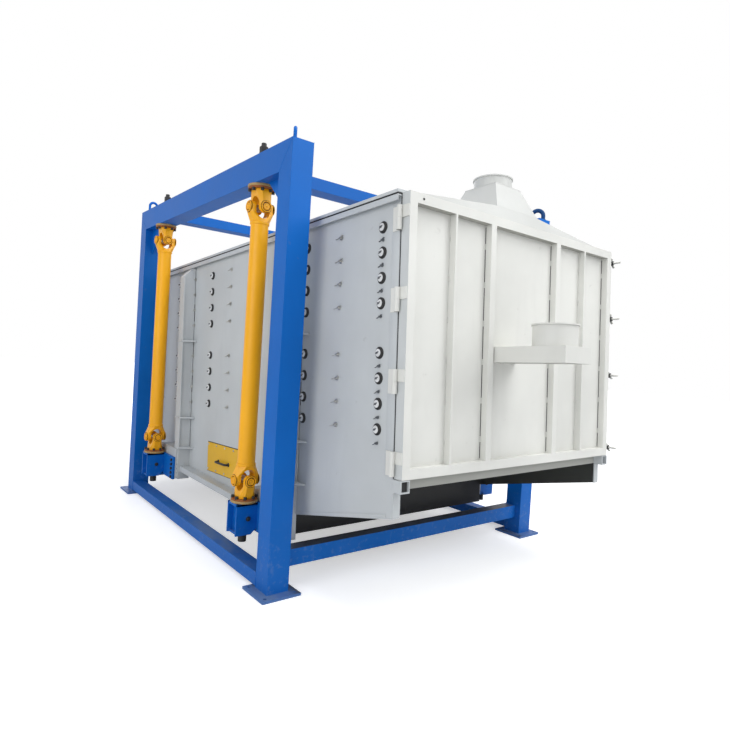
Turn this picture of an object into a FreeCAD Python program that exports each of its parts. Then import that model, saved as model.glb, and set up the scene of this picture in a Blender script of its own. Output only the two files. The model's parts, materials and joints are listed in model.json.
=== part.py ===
import FreeCAD, Part
import math
import os
import re
import Sketcher
from FreeCAD import Placement, Rotation, Vector

# Gyratory screener: an inclined sieve box hung on four universal-joint shafts in a tube frame.
# X runs across the machine, Y along the box with the door at -Y, Z up, floor at Z = 0.
# The origin is the centre of the four anchored feet on the floor.

doc = FreeCAD.newDocument("GyratoryScreener")
sheet = doc.addObject("Spreadsheet::Sheet", "Sizes")

SIZES = (
    # frame
    ("side_gap", 130, "side wall to a column"),
    ("frame_length", 2730, "outside of the columns along the machine"),
    ("column_size", 140, "square column tube"),
    ("frame_wall", 8, "wall of all frame tubes"),
    ("beam_height", 170, "top beam tube height"),
    ("top_rail_width", 140, "top cross rail along Y"),
    ("top_rail_height", 80, "top cross rail"),
    ("base_beam_width", 100, "base beam across"),
    ("base_beam_height", 80, "base beam"),
    ("base_beam_lift", 25, "base beam above the floor"),
    ("base_rail_depth", 90, "base cross rail along Y"),
    ("base_rail_height", 100, "base cross rail"),
    ("base_rail_lift", 140, "base cross rail above the floor"),
    ("gusset_gap", 21, "corner gusset tip to the joint flange"),
    ("gusset_drop", 220, "corner gusset down the column"),
    ("gusset_thick", 12, "corner gusset plate"),
    ("foot_size", 250, "square foot plate"),
    ("foot_thick", 16, "foot plate"),
    ("anchor_spacing", 190, "anchor hole to anchor hole in a foot"),
    ("anchor_radius", 11, "anchor hole"),
    ("eye_radius", 42, "lifting eye outside"),
    ("eye_bar", 18, "lifting eye bar width"),
    ("eye_thick", 20, "lifting eye plate"),
    ("eye_leg", 60, "lifting eye leg height"),
    ("eye_inset", 100, "lifting eye from the frame end"),
    # hanger shafts and universal joints
    ("hanger_inset", 480, "shaft axis from the frame end"),
    ("lower_flange", 434, "lower joint flange above the floor"),
    ("shaft_length", 2000, "flange face to flange face"),
    ("shaft_radius", 56, "shaft tube outside"),
    ("shaft_wall", 8, "shaft tube wall"),
    ("pin_drop", 140, "flange face to joint centre"),
    ("flange_radius", 84, "joint flange"),
    ("flange_thick", 14, "joint flange"),
    ("flange_bolt_circle", 73, "bolt circle radius"),
    ("bolt_head", 9, "flange bolt head corner radius"),
    ("bolt_head_height", 9, "flange bolt head"),
    ("fork_reach", 89, "joint centre to the shaft weld"),
    ("fork_half", 78, "joint centre to an ear's outer face"),
    ("fork_gap", 46, "joint centre to an ear's inner face"),
    ("fork_crotch", 69, "joint centre to the bottom of the fork"),
    ("fork_taper", 34, "height where the fork starts to narrow"),
    ("ear_radius", 36, "rounded ear"),
    ("fork_edge", 8, "chamfer on the corners of an ear"),
    ("neck_half", 58, "half width of a flange yoke neck"),
    ("trunnion_radius", 15, "cross trunnion"),
    ("hub_radius", 20, "corner radius of the cross hub"),
    ("cap_radius", 22, "bearing cap on an ear"),
    ("cap_rise", 3, "bearing cap proud of the ear"),
    ("cap_floor", 6, "closed end of a bearing cap"),
    ("running_gap", 0.05, "radial clearance of a journal"),
    ("seat_gap", 0.3, "end clearance of a moving piece"),
    ("stud_radius", 14, "hanger stud through the beam"),
    ("stud_nut", 24, "hanger nut corner radius"),
    ("stud_nut_height", 26, "hanger nut"),
    ("stud_rise", 50, "hanger stud above the beam"),
    # brackets under the shafts
    ("bracket_outer", 80, "bracket beyond the shaft axis"),
    ("bracket_half", 66, "half width of the bracket box"),
    ("bracket_height", 200, "bracket box"),
    ("bracket_plate", 12, "bracket walls"),
    ("bracket_top_plate", 16, "bracket plate under the flange"),
    ("bracket_flange", 20, "bolted flange of the bracket"),
    ("bracket_chamfer", 40, "sloped inner corner of the bracket"),
    ("mount_plate", 15, "mounting plate on the posts"),
    ("mount_low", 250, "mounting plate bottom above the floor"),
    ("mount_high", 495, "mounting plate top above the floor"),
    ("mount_reach", 292, "mounting plate from the shaft axis past the post"),
    ("mount_bolt", 12, "mounting bolt head corner radius"),
    ("mount_bolt_height", 11, "mounting bolt head"),
    ("mount_bolt_inset", 30, "mounting bolts from the plate end"),
    ("mount_bolt_pitch", 36, "mounting bolt to mounting bolt"),
    ("bottom_nut_radius", 27, "round nut under the bracket"),
    ("bottom_nut_height", 56, "round nut under the bracket"),
    # sieve box, measured in its own tilted frame from the door sill
    ("tilt", 2.72, "degrees that the box slopes down to the rear"),
    ("door_reach", 2133, "door sill ahead of the frame centre"),
    ("sill_height", 817, "door sill above the floor"),
    ("box_width", 1920, "outside of the side walls"),
    ("box_front", 60, "front of the box behind the door face"),
    ("box_end", 3960, "rear of the box behind the door face"),
    ("wall_top", 1410, "top of the side walls above the sill"),
    ("wall_thick", 6, "side, rear and floor plates"),
    ("skirt_front", 200, "side wall below the sill at the front"),
    ("skirt_knee", 1334, "where the skirt stops dropping"),
    ("skirt_drop", 440, "side wall below the sill at the knee"),
    ("wall_return", 48, "return of the side wall below the sill"),
    ("rim", 30, "top angle on the side walls"),
    ("cover_rise", 28, "upstand round the top cover"),
    ("frame_tube", 60, "front frame tube"),
    ("stub_height", 66, "square stub under the door corners"),
    ("post_depth", 100, "hanging post out from the wall"),
    ("post_width", 90, "hanging post along the wall"),
    ("post_near", 221, "shaft axis to the near face of a post"),
    ("post_top", 1380, "hanging post above the sill"),
    ("post_chamfer", 80, "sloped top of a hanging post"),
    ("post_wall", 6, "hanging post sheet"),
    ("collar_rise", 8, "collar beyond the post"),
    ("collar_thick", 10, "collar on a post"),
    ("collar_low", 82, "lower collar above the sill"),
    ("collar_high", 739, "upper collar above the sill"),
    ("chord_width", 80, "bottom chord out from the wall"),
    ("chord_height", 45, "bottom chord"),
    ("deck_top", 1272, "highest deck above the sill"),
    ("deck_mid", 624, "highest deck of the lower stack"),
    ("deck_pitch", 131, "deck to deck"),
    ("deck_start", 150, "front of the decks"),
    ("field_length", 717, "one screen field"),
    ("deck_gap", 14, "deck to the side wall"),
    ("deck_bar", 45, "deck frame bar"),
    ("deck_height", 40, "deck frame"),
    ("tray_floor", 2, "perforated tray floor"),
    ("cloth_thick", 2, "screen cloth"),
    ("rail_width", 40, "deck rail"),
    ("rail_thick", 8, "deck rail"),
    ("ball_radius", 17, "cleaning ball"),
    ("port_start", 198, "first row of ports behind the door face"),
    ("port_radius", 31, "port plug"),
    ("port_thick", 12, "port plug"),
    ("hatch_front", 1682, "hatch behind the door face"),
    ("hatch_length", 640, "hatch"),
    ("hatch_top", 76, "hatch top below the sill"),
    ("hatch_height", 226, "hatch"),
    ("hatch_thick", 6, "hatch plate"),
    ("handle_centre", 2046, "bow handle behind the door face"),
    ("handle_span", 247, "bow handle"),
    ("handle_rise", 40, "bow handle off the hatch"),
    ("handle_radius", 6, "bow handle bar"),
    # top feed
    ("roof_front", 62, "roof behind the door face"),
    ("roof_length", 438, "roof along the box"),
    ("roof_rise", 84, "roof"),
    ("hopper_base", 197, "half of the hopper base"),
    ("hopper_top", 122, "half of the hopper top"),
    ("hopper_rise", 170, "hopper"),
    ("spout_radius", 118, "inlet spout outside"),
    ("spout_wall", 4, "spout sheet"),
    ("spout_rise", 72, "top spout"),
    ("bead_rise", 8, "rolled bead"),
    ("bead_proud", 6, "rolled bead beyond the spout"),
    ("feed_slot_half", 600, "half width of the feed slot under the roof"),
    ("feed_slot_length", 240, "feed slot under the roof"),
    # door
    ("door_height", 1420, "door"),
    ("door_thick", 58, "door frame"),
    ("stile", 52, "door frame face"),
    ("door_sheet", 5, "door frame sheet"),
    ("panel_depth", 43, "door panel behind the door face"),
    ("panel_thick", 6, "door panel"),
    ("rib_outer", 622, "thin rib from the centre"),
    ("rib_inner", 317, "channel rib from the centre"),
    ("rib_bar", 14, "thin rib"),
    ("rib_channel", 44, "channel rib"),
    ("chute_left", 283, "chute left of the centre"),
    ("chute_width", 243, "chute"),
    ("chute_reach", 440, "chute ahead of the door"),
    ("chute_low", 601, "chute above the sill"),
    ("chute_height", 87, "chute"),
    ("chute_spout_in", 140, "spout axis behind the chute front"),
    ("chute_spout_rise", 120, "spout on the chute"),
    ("hinge_out", 16, "hinge axis beyond the door edge"),
    ("knuckle_radius", 14, "hinge knuckle"),
    ("knuckle_length", 61, "one hinge knuckle"),
    ("hinge_start", 13, "lowest hinge above the sill"),
    ("hinge_pitch", 406.5, "hinge to hinge"),
    ("hinge_pin", 7, "hinge pin"),
    ("leaf_length", 58, "hinge leaf along the box"),
    ("leaf_thick", 6, "hinge leaf"),
    ("leaf_gap", 4, "hinge leaf to the turning knuckle"),
    ("lug_reach", 66, "clamp lug beyond the door edge"),
    ("lug_half", 26, "half height of a clamp lug"),
    ("lug_thick", 18, "clamp lug"),
    ("screw_out", 42, "hand screw axis beyond the door edge"),
    ("screw_radius", 8, "hand screw"),
    ("screw_hole", 12, "clearance hole in the box lug"),
    ("wing_reach", 38, "hand screw cross bar"),
    ("screw_lowest", 50, "first hand screw above the sill"),
    ("screw_lower", 555, "second hand screw above the sill"),
    ("screw_upper", 953, "third hand screw above the sill"),
    ("screw_highest", 1348, "fourth hand screw above the sill"),
    # drive
    ("cradle_ahead", 155, "drive cradle ahead of the front shaft axis"),
    ("cradle_length", 750, "drive cradle"),
    ("cradle_depth", 540, "cradle bottom below the sill"),
    ("cradle_top", 240, "cradle top below the sill"),
    ("bridge_width", 160, "bearing bridge along the box"),
    ("bearing_radius", 80, "bearing housing"),
    ("bearing_height", 50, "bearing housing"),
    ("cradle_plate", 10, "cradle plates"),
    ("rotor_radius", 45, "eccentric shaft"),
    ("weight_radius", 300, "eccentric weight"),
    ("weight_thick", 70, "eccentric weight"),
    ("pulley_radius", 240, "driven pulley"),
    ("pulley_height", 60, "pulleys"),
    ("pulley_top", 140, "top of the pulleys below the sill"),
    ("motor_pulley_radius", 60, "motor pulley"),
    ("motor_inset", 310, "motor axis inside the side wall"),
    ("motor_back", 170, "motor axis behind the cradle front"),
    ("motor_radius", 85, "motor body"),
    ("motor_height", 270, "motor body"),
    ("terminal_size", 90, "motor terminal box"),
    ("terminal_proud", 30, "terminal box beyond the motor body"),
    ("terminal_level", 110, "terminal box above the cradle base"),
    ("motor_shaft", 19, "motor shaft"),
    ("belt_thick", 12, "belt"),
    ("belt_height", 40, "belt"),
    # discharge
    ("outlet_start", 3765, "outlets behind the door face"),
    ("outlet_length", 170, "outlet along the box"),
    ("outlet_width", 300, "outlet across the box"),
    ("outlet_pitch", 550, "outlet to outlet"),
    ("outlet_drop", 250, "outlet below the sill"),
    ("outlet_sheet", 5, "outlet sheet"),
    ("outlet_flange", 30, "outlet flange"),
)

HANGER_Z = "(lower_flange + shaft_length)"
FRAME_TOP = "(lower_flange + shaft_length + beam_height)"
HALF_W = "(frame_width / 2)"
HALF_L = "(frame_length / 2)"
HANGER_X = "(frame_width / 2 - column_size / 2)"
HANGER_Y = "(frame_length / 2 - hanger_inset)"
WALL_OUT = "(box_width / 2)"
WALL_IN = "(box_width / 2 - wall_thick)"
POST_OUT = "(box_width / 2 + post_depth)"
MOUNT_OUT = "(box_width / 2 + post_depth + mount_plate)"

row = 0
for alias, value, note in SIZES:
    row += 1
    sheet.set("A%d" % row, alias.replace("_", " "))
    sheet.set("B%d" % row, str(value))
    sheet.set("C%d" % row, note)
    sheet.setAlias("B%d" % row, alias)
doc.recompute()

ALIASES = {alias for alias, value, note in SIZES}
FOLLOWS = {
    "frame_width": "(box_width + 2 * side_gap + 2 * column_size)",
    "deck_half": "(box_width / 2 - wall_thick - deck_gap)",
    "door_half": "(box_width / 2)",
    "motor_x": "(box_width / 2 - motor_inset)",
}
NODES = {}


def linked(text):
    """The expression with every size read from the sheet, and the widths that follow the box worked out."""
    def read(found):
        word = found.group(0)
        if word in FOLLOWS:
            return linked(FOLLOWS[word])
        return "Sizes." + word if word in ALIASES else word
    return re.sub(r"[a-z_]+", read, str(text))


def bind(thing, prop, text):
    thing.setExpression(prop, linked(text))


def size(alias):
    return float(sheet.get(alias))


def place(thing, x="0", y="0", z="0", turn=None):
    """Puts a feature at three expressions, turned by a fixed rotation."""
    thing.Placement = Placement(Vector(0, 0, 0), turn or Rotation())
    bind(thing, "Placement.Base.x", x)
    bind(thing, "Placement.Base.y", y)
    bind(thing, "Placement.Base.z", z)
    return thing


def block(name, x_low, x_high, y_low, y_high, z_low, z_high):
    """A box between two corners given as expressions."""
    thing = doc.addObject("Part::Box", name)
    bind(thing, "Length", "(%s) - (%s)" % (x_high, x_low))
    bind(thing, "Width", "(%s) - (%s)" % (y_high, y_low))
    bind(thing, "Height", "(%s) - (%s)" % (z_high, z_low))
    return place(thing, x_low, y_low, z_low)


TURNS = {
    "x": Rotation(Vector(0, 1, 0), 90),
    "y": Rotation(Vector(1, 0, 0), -90),
    "z": Rotation(),
}


def along(axis, centre, start):
    """The start point of a rod that runs along an axis through a centre."""
    x, y, z = centre
    if axis == "x":
        return (start, y, z)
    if axis == "y":
        return (x, start, z)
    return (x, y, start)


def rod(name, axis, centre, start, end, radius):
    thing = doc.addObject("Part::Cylinder", name)
    bind(thing, "Radius", radius)
    bind(thing, "Height", "(%s) - (%s)" % (end, start))
    return place(thing, *along(axis, centre, start), turn=TURNS[axis])


def hexagon(name, axis, centre, start, end, radius, corners=6):
    thing = doc.addObject("Part::Prism", name)
    thing.Polygon = corners
    bind(thing, "Circumradius", radius)
    bind(thing, "Height", "(%s) - (%s)" % (end, start))
    return place(thing, *along(axis, centre, start), turn=TURNS[axis])


def fuse(name, *things):
    thing = doc.addObject("Part::MultiFuse", name)
    thing.Shapes = list(things)
    thing.Refine = True
    return thing


def common(name, *things):
    thing = doc.addObject("Part::MultiCommon", name)
    thing.Shapes = list(things)
    return thing


def group(name, *things):
    thing = doc.addObject("Part::Compound", name)
    thing.Links = list(things)
    return thing


def cut(name, base, *tools):
    thing = doc.addObject("Part::Cut", name)
    thing.Base = base
    thing.Tool = tools[0] if len(tools) == 1 else group(name + "_tools", *tools)
    return thing


def span(sign, near, far):
    """Low and high expressions of a range mirrored by a sign."""
    if sign > 0:
        return (near, far)
    return ("-(%s)" % far, "-(%s)" % near)


PLANES = {"XY": "XY_Plane", "XZ": "XZ_Plane", "YZ": "YZ_Plane"}


def prism(name, plane, points, low, high):
    """A padded polygon: points in a main plane, drawn out between two values of the third axis."""
    body = doc.addObject("PartDesign::Body", name)
    sketch = body.newObject("Sketcher::SketchObject", name + "_sketch")
    for feature in body.Origin.OriginFeatures:
        if feature.Role == PLANES[plane]:
            sketch.AttachmentSupport = [(feature, "")]
    sketch.MapMode = "FlatFace"
    count = len(points)
    rough = [(math.cos(2 * math.pi * i / count), math.sin(2 * math.pi * i / count)) for i in range(count)]
    for i in range(count):
        a = rough[i]
        b = rough[(i + 1) % count]
        sketch.addGeometry(Part.LineSegment(Vector(a[0], a[1], 0), Vector(b[0], b[1], 0)), False)
    for i in range(count):
        sketch.addConstraint(Sketcher.Constraint("Coincident", i, 2, (i + 1) % count, 1))
    for i, (across, up) in enumerate(points):
        for kind, text, start in (("DistanceX", across, rough[i][0]), ("DistanceY", up, rough[i][1])):
            number = sketch.addConstraint(Sketcher.Constraint(kind, -1, 1, i, 1, start))
            bind(sketch, "Constraints[%d]" % number, text)
    pad = body.newObject("PartDesign::Pad", name + "_pad")
    pad.Profile = sketch
    bind(pad, "Length", "(%s) - (%s)" % (high, low))
    pad.Reversed = plane == "XZ"
    body.Tip = pad
    if plane == "XY":
        return place(body, "0", "0", low)
    if plane == "XZ":
        return place(body, "0", low, "0")
    return place(body, low, "0", "0")


def node(name, thing):
    """Names a finished sub-part."""
    thing.Label = name
    NODES[name] = thing
    return thing


def tilted(name, *things):
    """Things drawn in the box's own frame, laid at its slope."""
    thing = group(name, *things)
    thing.Placement = Placement(Vector(0, 0, 0), Rotation(Vector(-1, 0, 0), 1))
    bind(thing, "Placement.Base.y", "-door_reach")
    bind(thing, "Placement.Base.z", "sill_height")
    bind(thing, "Placement.Rotation.Angle", "tilt")
    return thing


def square_tube(name, axis, x_low, x_high, y_low, y_high, z_low, z_high, wall):
    """A rectangular tube open at both ends along its axis."""
    outer = block(name + "_outer", x_low, x_high, y_low, y_high, z_low, z_high)
    low = {"x": x_low, "y": y_low, "z": z_low}
    high = {"x": x_high, "y": y_high, "z": z_high}
    for key in "xyz":
        if key != axis:
            low[key] = "(%s) + %s" % (low[key], wall)
            high[key] = "(%s) - %s" % (high[key], wall)
    inner = block(name + "_inner", low["x"], high["x"], low["y"], high["y"], low["z"], high["z"])
    return cut(name, outer, inner)


SIDES = (("left", -1), ("right", 1))
ENDS = (("front", -1), ("rear", 1))
CORNERS = [(end + "_" + side, sx, sy) for side, sx in SIDES for end, sy in ENDS]


def signed(sign, text):
    return text if sign > 0 else "-(%s)" % text


def build_columns():
    """Four columns, mitred where the top beams meet them."""
    for side, sx in SIDES:
        pair = []
        for end, sy in ENDS:
            name = "column_%s_%s" % (end, side)
            x_low, x_high = span(sx, HALF_W + " - column_size", HALF_W)
            y_low, y_high = span(sy, HALF_L + " - column_size", HALF_L)
            tube = square_tube(name + "_tube", "z", x_low, x_high, y_low, y_high, "foot_thick", FRAME_TOP, "frame_wall")
            outer = signed(sy, HALF_L)
            inner = signed(sy, HALF_L + " - column_size")
            corner = ((outer, FRAME_TOP), (inner, FRAME_TOP), (inner, HANGER_Z))
            mitre = prism(name + "_mitre", "YZ", corner, x_low, x_high)
            pair.append(cut(name + "_cut", tube, mitre))
        node("columns_" + side, group("columns_" + side, *pair))


def build_top_beams():
    """Two top beams with both ends mitred onto the columns."""
    for side, sx in SIDES:
        name = "top_beam_" + side
        x_low, x_high = span(sx, HALF_W + " - column_size", HALF_W)
        tube = square_tube(name + "_tube", "y", x_low, x_high, "-" + HALF_L, HALF_L, HANGER_Z, FRAME_TOP,
                           "frame_wall")
        mitres = []
        for end, sy in ENDS:
            outer = signed(sy, HALF_L)
            inner = signed(sy, HALF_L + " - column_size")
            corner = ((outer, FRAME_TOP), (outer, HANGER_Z), (inner, HANGER_Z))
            mitres.append(prism(name + "_mitre_" + end, "YZ", corner, x_low, x_high))
        node(name, cut(name, tube, *mitres))


def build_rails():
    """Top cross rails above the hangers, base beams and base cross rails."""
    reach = HALF_W + " - column_size"
    middle = "(" + HANGER_Z + " + beam_height / 2)"
    tops = []
    bases = []
    for end, sy in ENDS:
        y_low, y_high = span(sy, HANGER_Y + " - top_rail_width / 2", HANGER_Y + " + top_rail_width / 2")
        tops.append(square_tube("top_rail_" + end, "x", "-(%s)" % reach, reach, y_low, y_high,
                                middle + " - top_rail_height / 2", middle + " + top_rail_height / 2", "frame_wall"))
        y_low, y_high = span(sy, HALF_L + " - column_size", HALF_L + " - column_size + base_rail_depth")
        bases.append(square_tube("base_rail_" + end, "x", "-(%s)" % reach, reach, y_low, y_high, "base_rail_lift",
                                 "base_rail_lift + base_rail_height", "frame_wall"))
    node("top_rails", group("top_rails", *tops))
    node("base_rails", group("base_rails", *bases))
    beams = []
    for side, sx in SIDES:
        x_low, x_high = span(sx, HALF_W + " - base_beam_width", HALF_W)
        along_y = HALF_L + " - column_size"
        beams.append(square_tube("base_beam_" + side, "y", x_low, x_high, "-(%s)" % along_y, along_y,
                                 "base_beam_lift", "base_beam_lift + base_beam_height", "frame_wall"))
    node("base_beams", group("base_beams", *beams))


def build_gussets():
    plates = []
    for corner, sx, sy in CORNERS:
        column = signed(sy, HALF_L + " - column_size")
        tip = signed(sy, HANGER_Y + " + flange_radius + gusset_gap")
        points = ((column, HANGER_Z), (tip, HANGER_Z), (column, HANGER_Z + " - gusset_drop"))
        x_low, x_high = span(sx, HANGER_X + " - gusset_thick / 2", HANGER_X + " + gusset_thick / 2")
        plates.append(prism("gusset_" + corner, "YZ", points, x_low, x_high))
    node("corner_gussets", group("corner_gussets", *plates))


def build_feet():
    """Foot plates with four anchor holes each."""
    plates = []
    for corner, sx, sy in CORNERS:
        x = signed(sx, HANGER_X)
        y = signed(sy, "(frame_length / 2 - column_size / 2)")
        plate = block("foot_plate_" + corner, x + " - foot_size / 2", x + " + foot_size / 2", y + " - foot_size / 2",
                      y + " + foot_size / 2", "0", "foot_thick")
        holes = []
        for hx in (-1, 1):
            for hy in (-1, 1):
                centre = (x + " + %d * anchor_spacing / 2" % hx, y + " + %d * anchor_spacing / 2" % hy, "0")
                holes.append(rod("anchor_hole_%s_%d%d" % (corner, hx + 1, hy + 1), "z", centre, "0", "foot_thick",
                                 "anchor_radius"))
        plates.append(cut("foot_" + corner, plate, *holes))
    node("foot_plates", group("foot_plates", *plates))


def build_eyes():
    """Plate lifting eyes on the ends of the top beams, the front left one turned on its stud."""
    leg = block("eye_leg_block", "-eye_radius", "eye_radius", "-eye_thick / 2", "eye_thick / 2", "0", "eye_leg")
    arch = rod("eye_arch", "y", ("0", "0", "eye_leg"), "-eye_thick / 2", "eye_thick / 2", "eye_radius")
    bore = rod("eye_bore", "y", ("0", "0", "eye_leg"), "-eye_thick / 2", "eye_thick / 2", "eye_radius - eye_bar")
    slot = block("eye_slot", "eye_bar - eye_radius", "eye_radius - eye_bar", "-eye_thick / 2", "eye_thick / 2", "0",
                 "eye_leg")
    eye = cut("eye", fuse("eye_outline", leg, arch), fuse("eye_opening", bore, slot))
    eyes = []
    for corner, sx, sy in CORNERS:
        turn = Rotation(Vector(0, 0, 1), 60 if corner == "front_left" else 0)
        copy = group("eye_" + corner, eye)
        eyes.append(place(copy, signed(sx, HANGER_X), signed(sy, "(frame_length / 2 - eye_inset)"), FRAME_TOP, turn))
    node("lifting_eyes", group("lifting_eyes", *eyes))


def fork(name, reach, base_half):
    """A forged fork round a pin along X at the origin, its base down at -reach."""
    front = ((("-(%s)" % base_half), "-(%s)" % reach), (base_half, "-(%s)" % reach), ("fork_half", "-fork_taper"),
             ("fork_half", "ear_radius"), ("-fork_half", "ear_radius"), ("-fork_half", "-fork_taper"))
    side = ((("-(%s)" % base_half), "-(%s)" % reach), (base_half, "-(%s)" % reach), ("ear_radius", "-fork_taper"),
            ("ear_radius", "0"), ("-ear_radius", "0"), ("-ear_radius", "-fork_taper"))
    front_body = prism(name + "_front", "XZ", front, "-(%s)" % base_half, base_half)
    side_body = prism(name + "_side", "YZ", side, "-fork_half", "fork_half")
    ears = rod(name + "_ears", "x", ("0", "0", "0"), "-fork_half", "fork_half", "ear_radius")
    low_half = ("-(%s)" % base_half, base_half) * 2
    ear_half = "((fork_half + ear_radius) / sqrt(2) - fork_edge)"
    top_half = ("-" + ear_half, ear_half) * 2
    edges = []
    for part, base, low, high in (("neck", low_half, "-(%s)" % reach, "-fork_taper"),
                                  ("head", top_half, "-fork_taper", "ear_radius")):
        thing = frustum(name + "_" + part, base, top_half, low, high)
        thing.Placement = Placement(Vector(0, 0, 0), Rotation(Vector(0, 0, 1), 45) * thing.Placement.Rotation)
        edges.append(thing)
    outline = common(name + "_outline", front_body, fuse(name + "_profile", side_body, ears),
                     fuse(name + "_edges", *edges))
    caps = rod(name + "_caps", "x", ("0", "0", "0"), "-fork_half - cap_rise", "fork_half + cap_rise", "cap_radius")
    gap = block(name + "_gap", "-fork_gap", "fork_gap", "-neck_half", "neck_half", "fork_gap - fork_crotch",
                "ear_radius + 1")
    crotch = rod(name + "_crotch", "y", ("0", "0", "fork_gap - fork_crotch"), "-neck_half", "neck_half", "fork_gap")
    blind = "fork_half + cap_rise - cap_floor"
    bore = rod(name + "_bore", "x", ("0", "0", "0"), "-(%s)" % blind, blind, "trunnion_radius + running_gap")
    hollow = fuse(name + "_hollow", gap, crotch, bore)
    return cut(name, fuse(name + "_blank", outline, caps), hollow)


def build_flange_yokes():
    """Bolted flange yokes: four under the beams, four upside down on the brackets."""
    flange = rod("yoke_flange", "z", ("0", "0", "0"), "-pin_drop", "flange_thick - pin_drop", "flange_radius")
    yoke = fuse("flange_yoke", fork("yoke_fork", "pin_drop - flange_thick", "neck_half"), flange)
    upper_turn = Rotation(Vector(0, 0, 1), 90) * Rotation(Vector(1, 0, 0), 180)
    lower_turn = Rotation(Vector(0, 0, 1), 90)
    heads = []
    for i in range(8):
        angle = "%d" % (45 * i)
        centre = ("flange_bolt_circle * cos(%s + 22.5)" % angle, "flange_bolt_circle * sin(%s + 22.5)" % angle, "0")
        heads.append(hexagon("yoke_bolt_%d" % i, "z", centre, "flange_thick - pin_drop",
                             "flange_thick - pin_drop + bolt_head_height", "bolt_head"))
    bolts = group("yoke_bolts", *heads)
    upper, lower, upper_bolts, lower_bolts = [], [], [], []
    for corner, sx, sy in CORNERS:
        x = signed(sx, HANGER_X)
        y = signed(sy, HANGER_Y)
        high = HANGER_Z + " - pin_drop"
        low = "lower_flange + pin_drop"
        upper.append(place(group("upper_yoke_" + corner, yoke), x, y, high, upper_turn))
        lower.append(place(group("lower_yoke_" + corner, yoke), x, y, low, lower_turn))
        upper_bolts.append(place(group("upper_bolts_" + corner, bolts), x, y, high, upper_turn))
        lower_bolts.append(place(group("lower_bolts_" + corner, bolts), x, y, low, lower_turn))
        nut = hexagon("hanger_nut_" + corner, "z", (x, y, "0"), FRAME_TOP, FRAME_TOP + " + stud_nut_height",
                      "stud_nut")
        stud = rod("hanger_stud_" + corner, "z", (x, y, "0"), FRAME_TOP, FRAME_TOP + " + stud_rise", "stud_radius")
        upper_bolts.append(fuse("hanger_bolt_" + corner, nut, stud))
    node("upper_yokes", group("upper_yokes", *upper))
    node("lower_yokes", group("lower_yokes", *lower))
    node("upper_bolts", group("upper_bolts", *upper_bolts))
    node("lower_bolts", group("lower_bolts", *lower_bolts))


def build_shafts():
    """Hanger shafts: a tube with a fork welded to each end, drawn from the lower joint centre."""
    drop = "(shaft_length - 2 * pin_drop)"
    end_fork = fork("shaft_fork", "fork_reach", "shaft_radius")
    top_fork = place(group("shaft_fork_top", end_fork), "0", "0", drop)
    low_fork = place(group("shaft_fork_low", end_fork), "0", "0", "0", Rotation(Vector(1, 0, 0), 180))
    tube = rod("shaft_tube", "z", ("0", "0", "0"), "fork_reach", drop + " - fork_reach", "shaft_radius")
    bore = rod("shaft_bore", "z", ("0", "0", "0"), "fork_reach + shaft_wall", drop + " - fork_reach - shaft_wall",
               "shaft_radius - shaft_wall")
    shaft = cut("shaft", fuse("shaft_blank", tube, top_fork, low_fork), bore)
    for corner, sx, sy in CORNERS:
        copy = place(group("hanger_shaft_" + corner, shaft), signed(sx, HANGER_X), signed(sy, HANGER_Y),
                     "lower_flange + pin_drop")
        node("hanger_shaft_" + corner, copy)


def build_crosses():
    """Universal-joint crosses: an eight-sided hub bar each way with four round trunnions."""
    tip = "fork_half + cap_rise - cap_floor - seat_gap"
    shoulder = "fork_gap - seat_gap"
    pieces = []
    for axis in "xy":
        pieces.append(rod("trunnion_" + axis, axis, ("0", "0", "0"), "-(%s)" % tip, tip, "trunnion_radius"))
        pieces.append(hexagon("hub_" + axis, axis, ("0", "0", "0"), "-(%s)" % shoulder, shoulder, "hub_radius", 8))
    cross = fuse("cross", *pieces)
    for corner, sx, sy in CORNERS:
        x = signed(sx, HANGER_X)
        y = signed(sy, HANGER_Y)
        high = place(group("upper_cross_" + corner, cross), x, y, HANGER_Z + " - pin_drop")
        low = place(group("lower_cross_" + corner, cross), x, y, "lower_flange + pin_drop")
        node("upper_cross_" + corner, high)
        node("lower_cross_" + corner, low)


def frustum(name, base, top, low, high):
    """A tapered block between two rectangles (x low, x high, y low, y high) at two heights."""
    thing = doc.addObject("Part::Wedge", name)
    bind(thing, "Ymin", low)
    bind(thing, "Ymax", high)
    for prefix, corners in (("", base), ("2", top)):
        bind(thing, "X%smin" % prefix, corners[0])
        bind(thing, "X%smax" % prefix, corners[1])
        bind(thing, "Z%smin" % prefix, "-(%s)" % corners[3])
        bind(thing, "Z%smax" % prefix, "-(%s)" % corners[2])
    thing.Placement = Placement(Vector(0, 0, 0), Rotation(Vector(1, 0, 0), 90))
    return thing


LEVELS = [(stack, i) for stack in ("deck_top", "deck_mid") for i in range(4)]
SKIRT_REAR = "(skirt_drop - (box_end - skirt_knee) * tan(tilt))"
CUP = "(wall_top + cover_rise)"
FEED_V = "(roof_front + roof_length / 2)"


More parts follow.
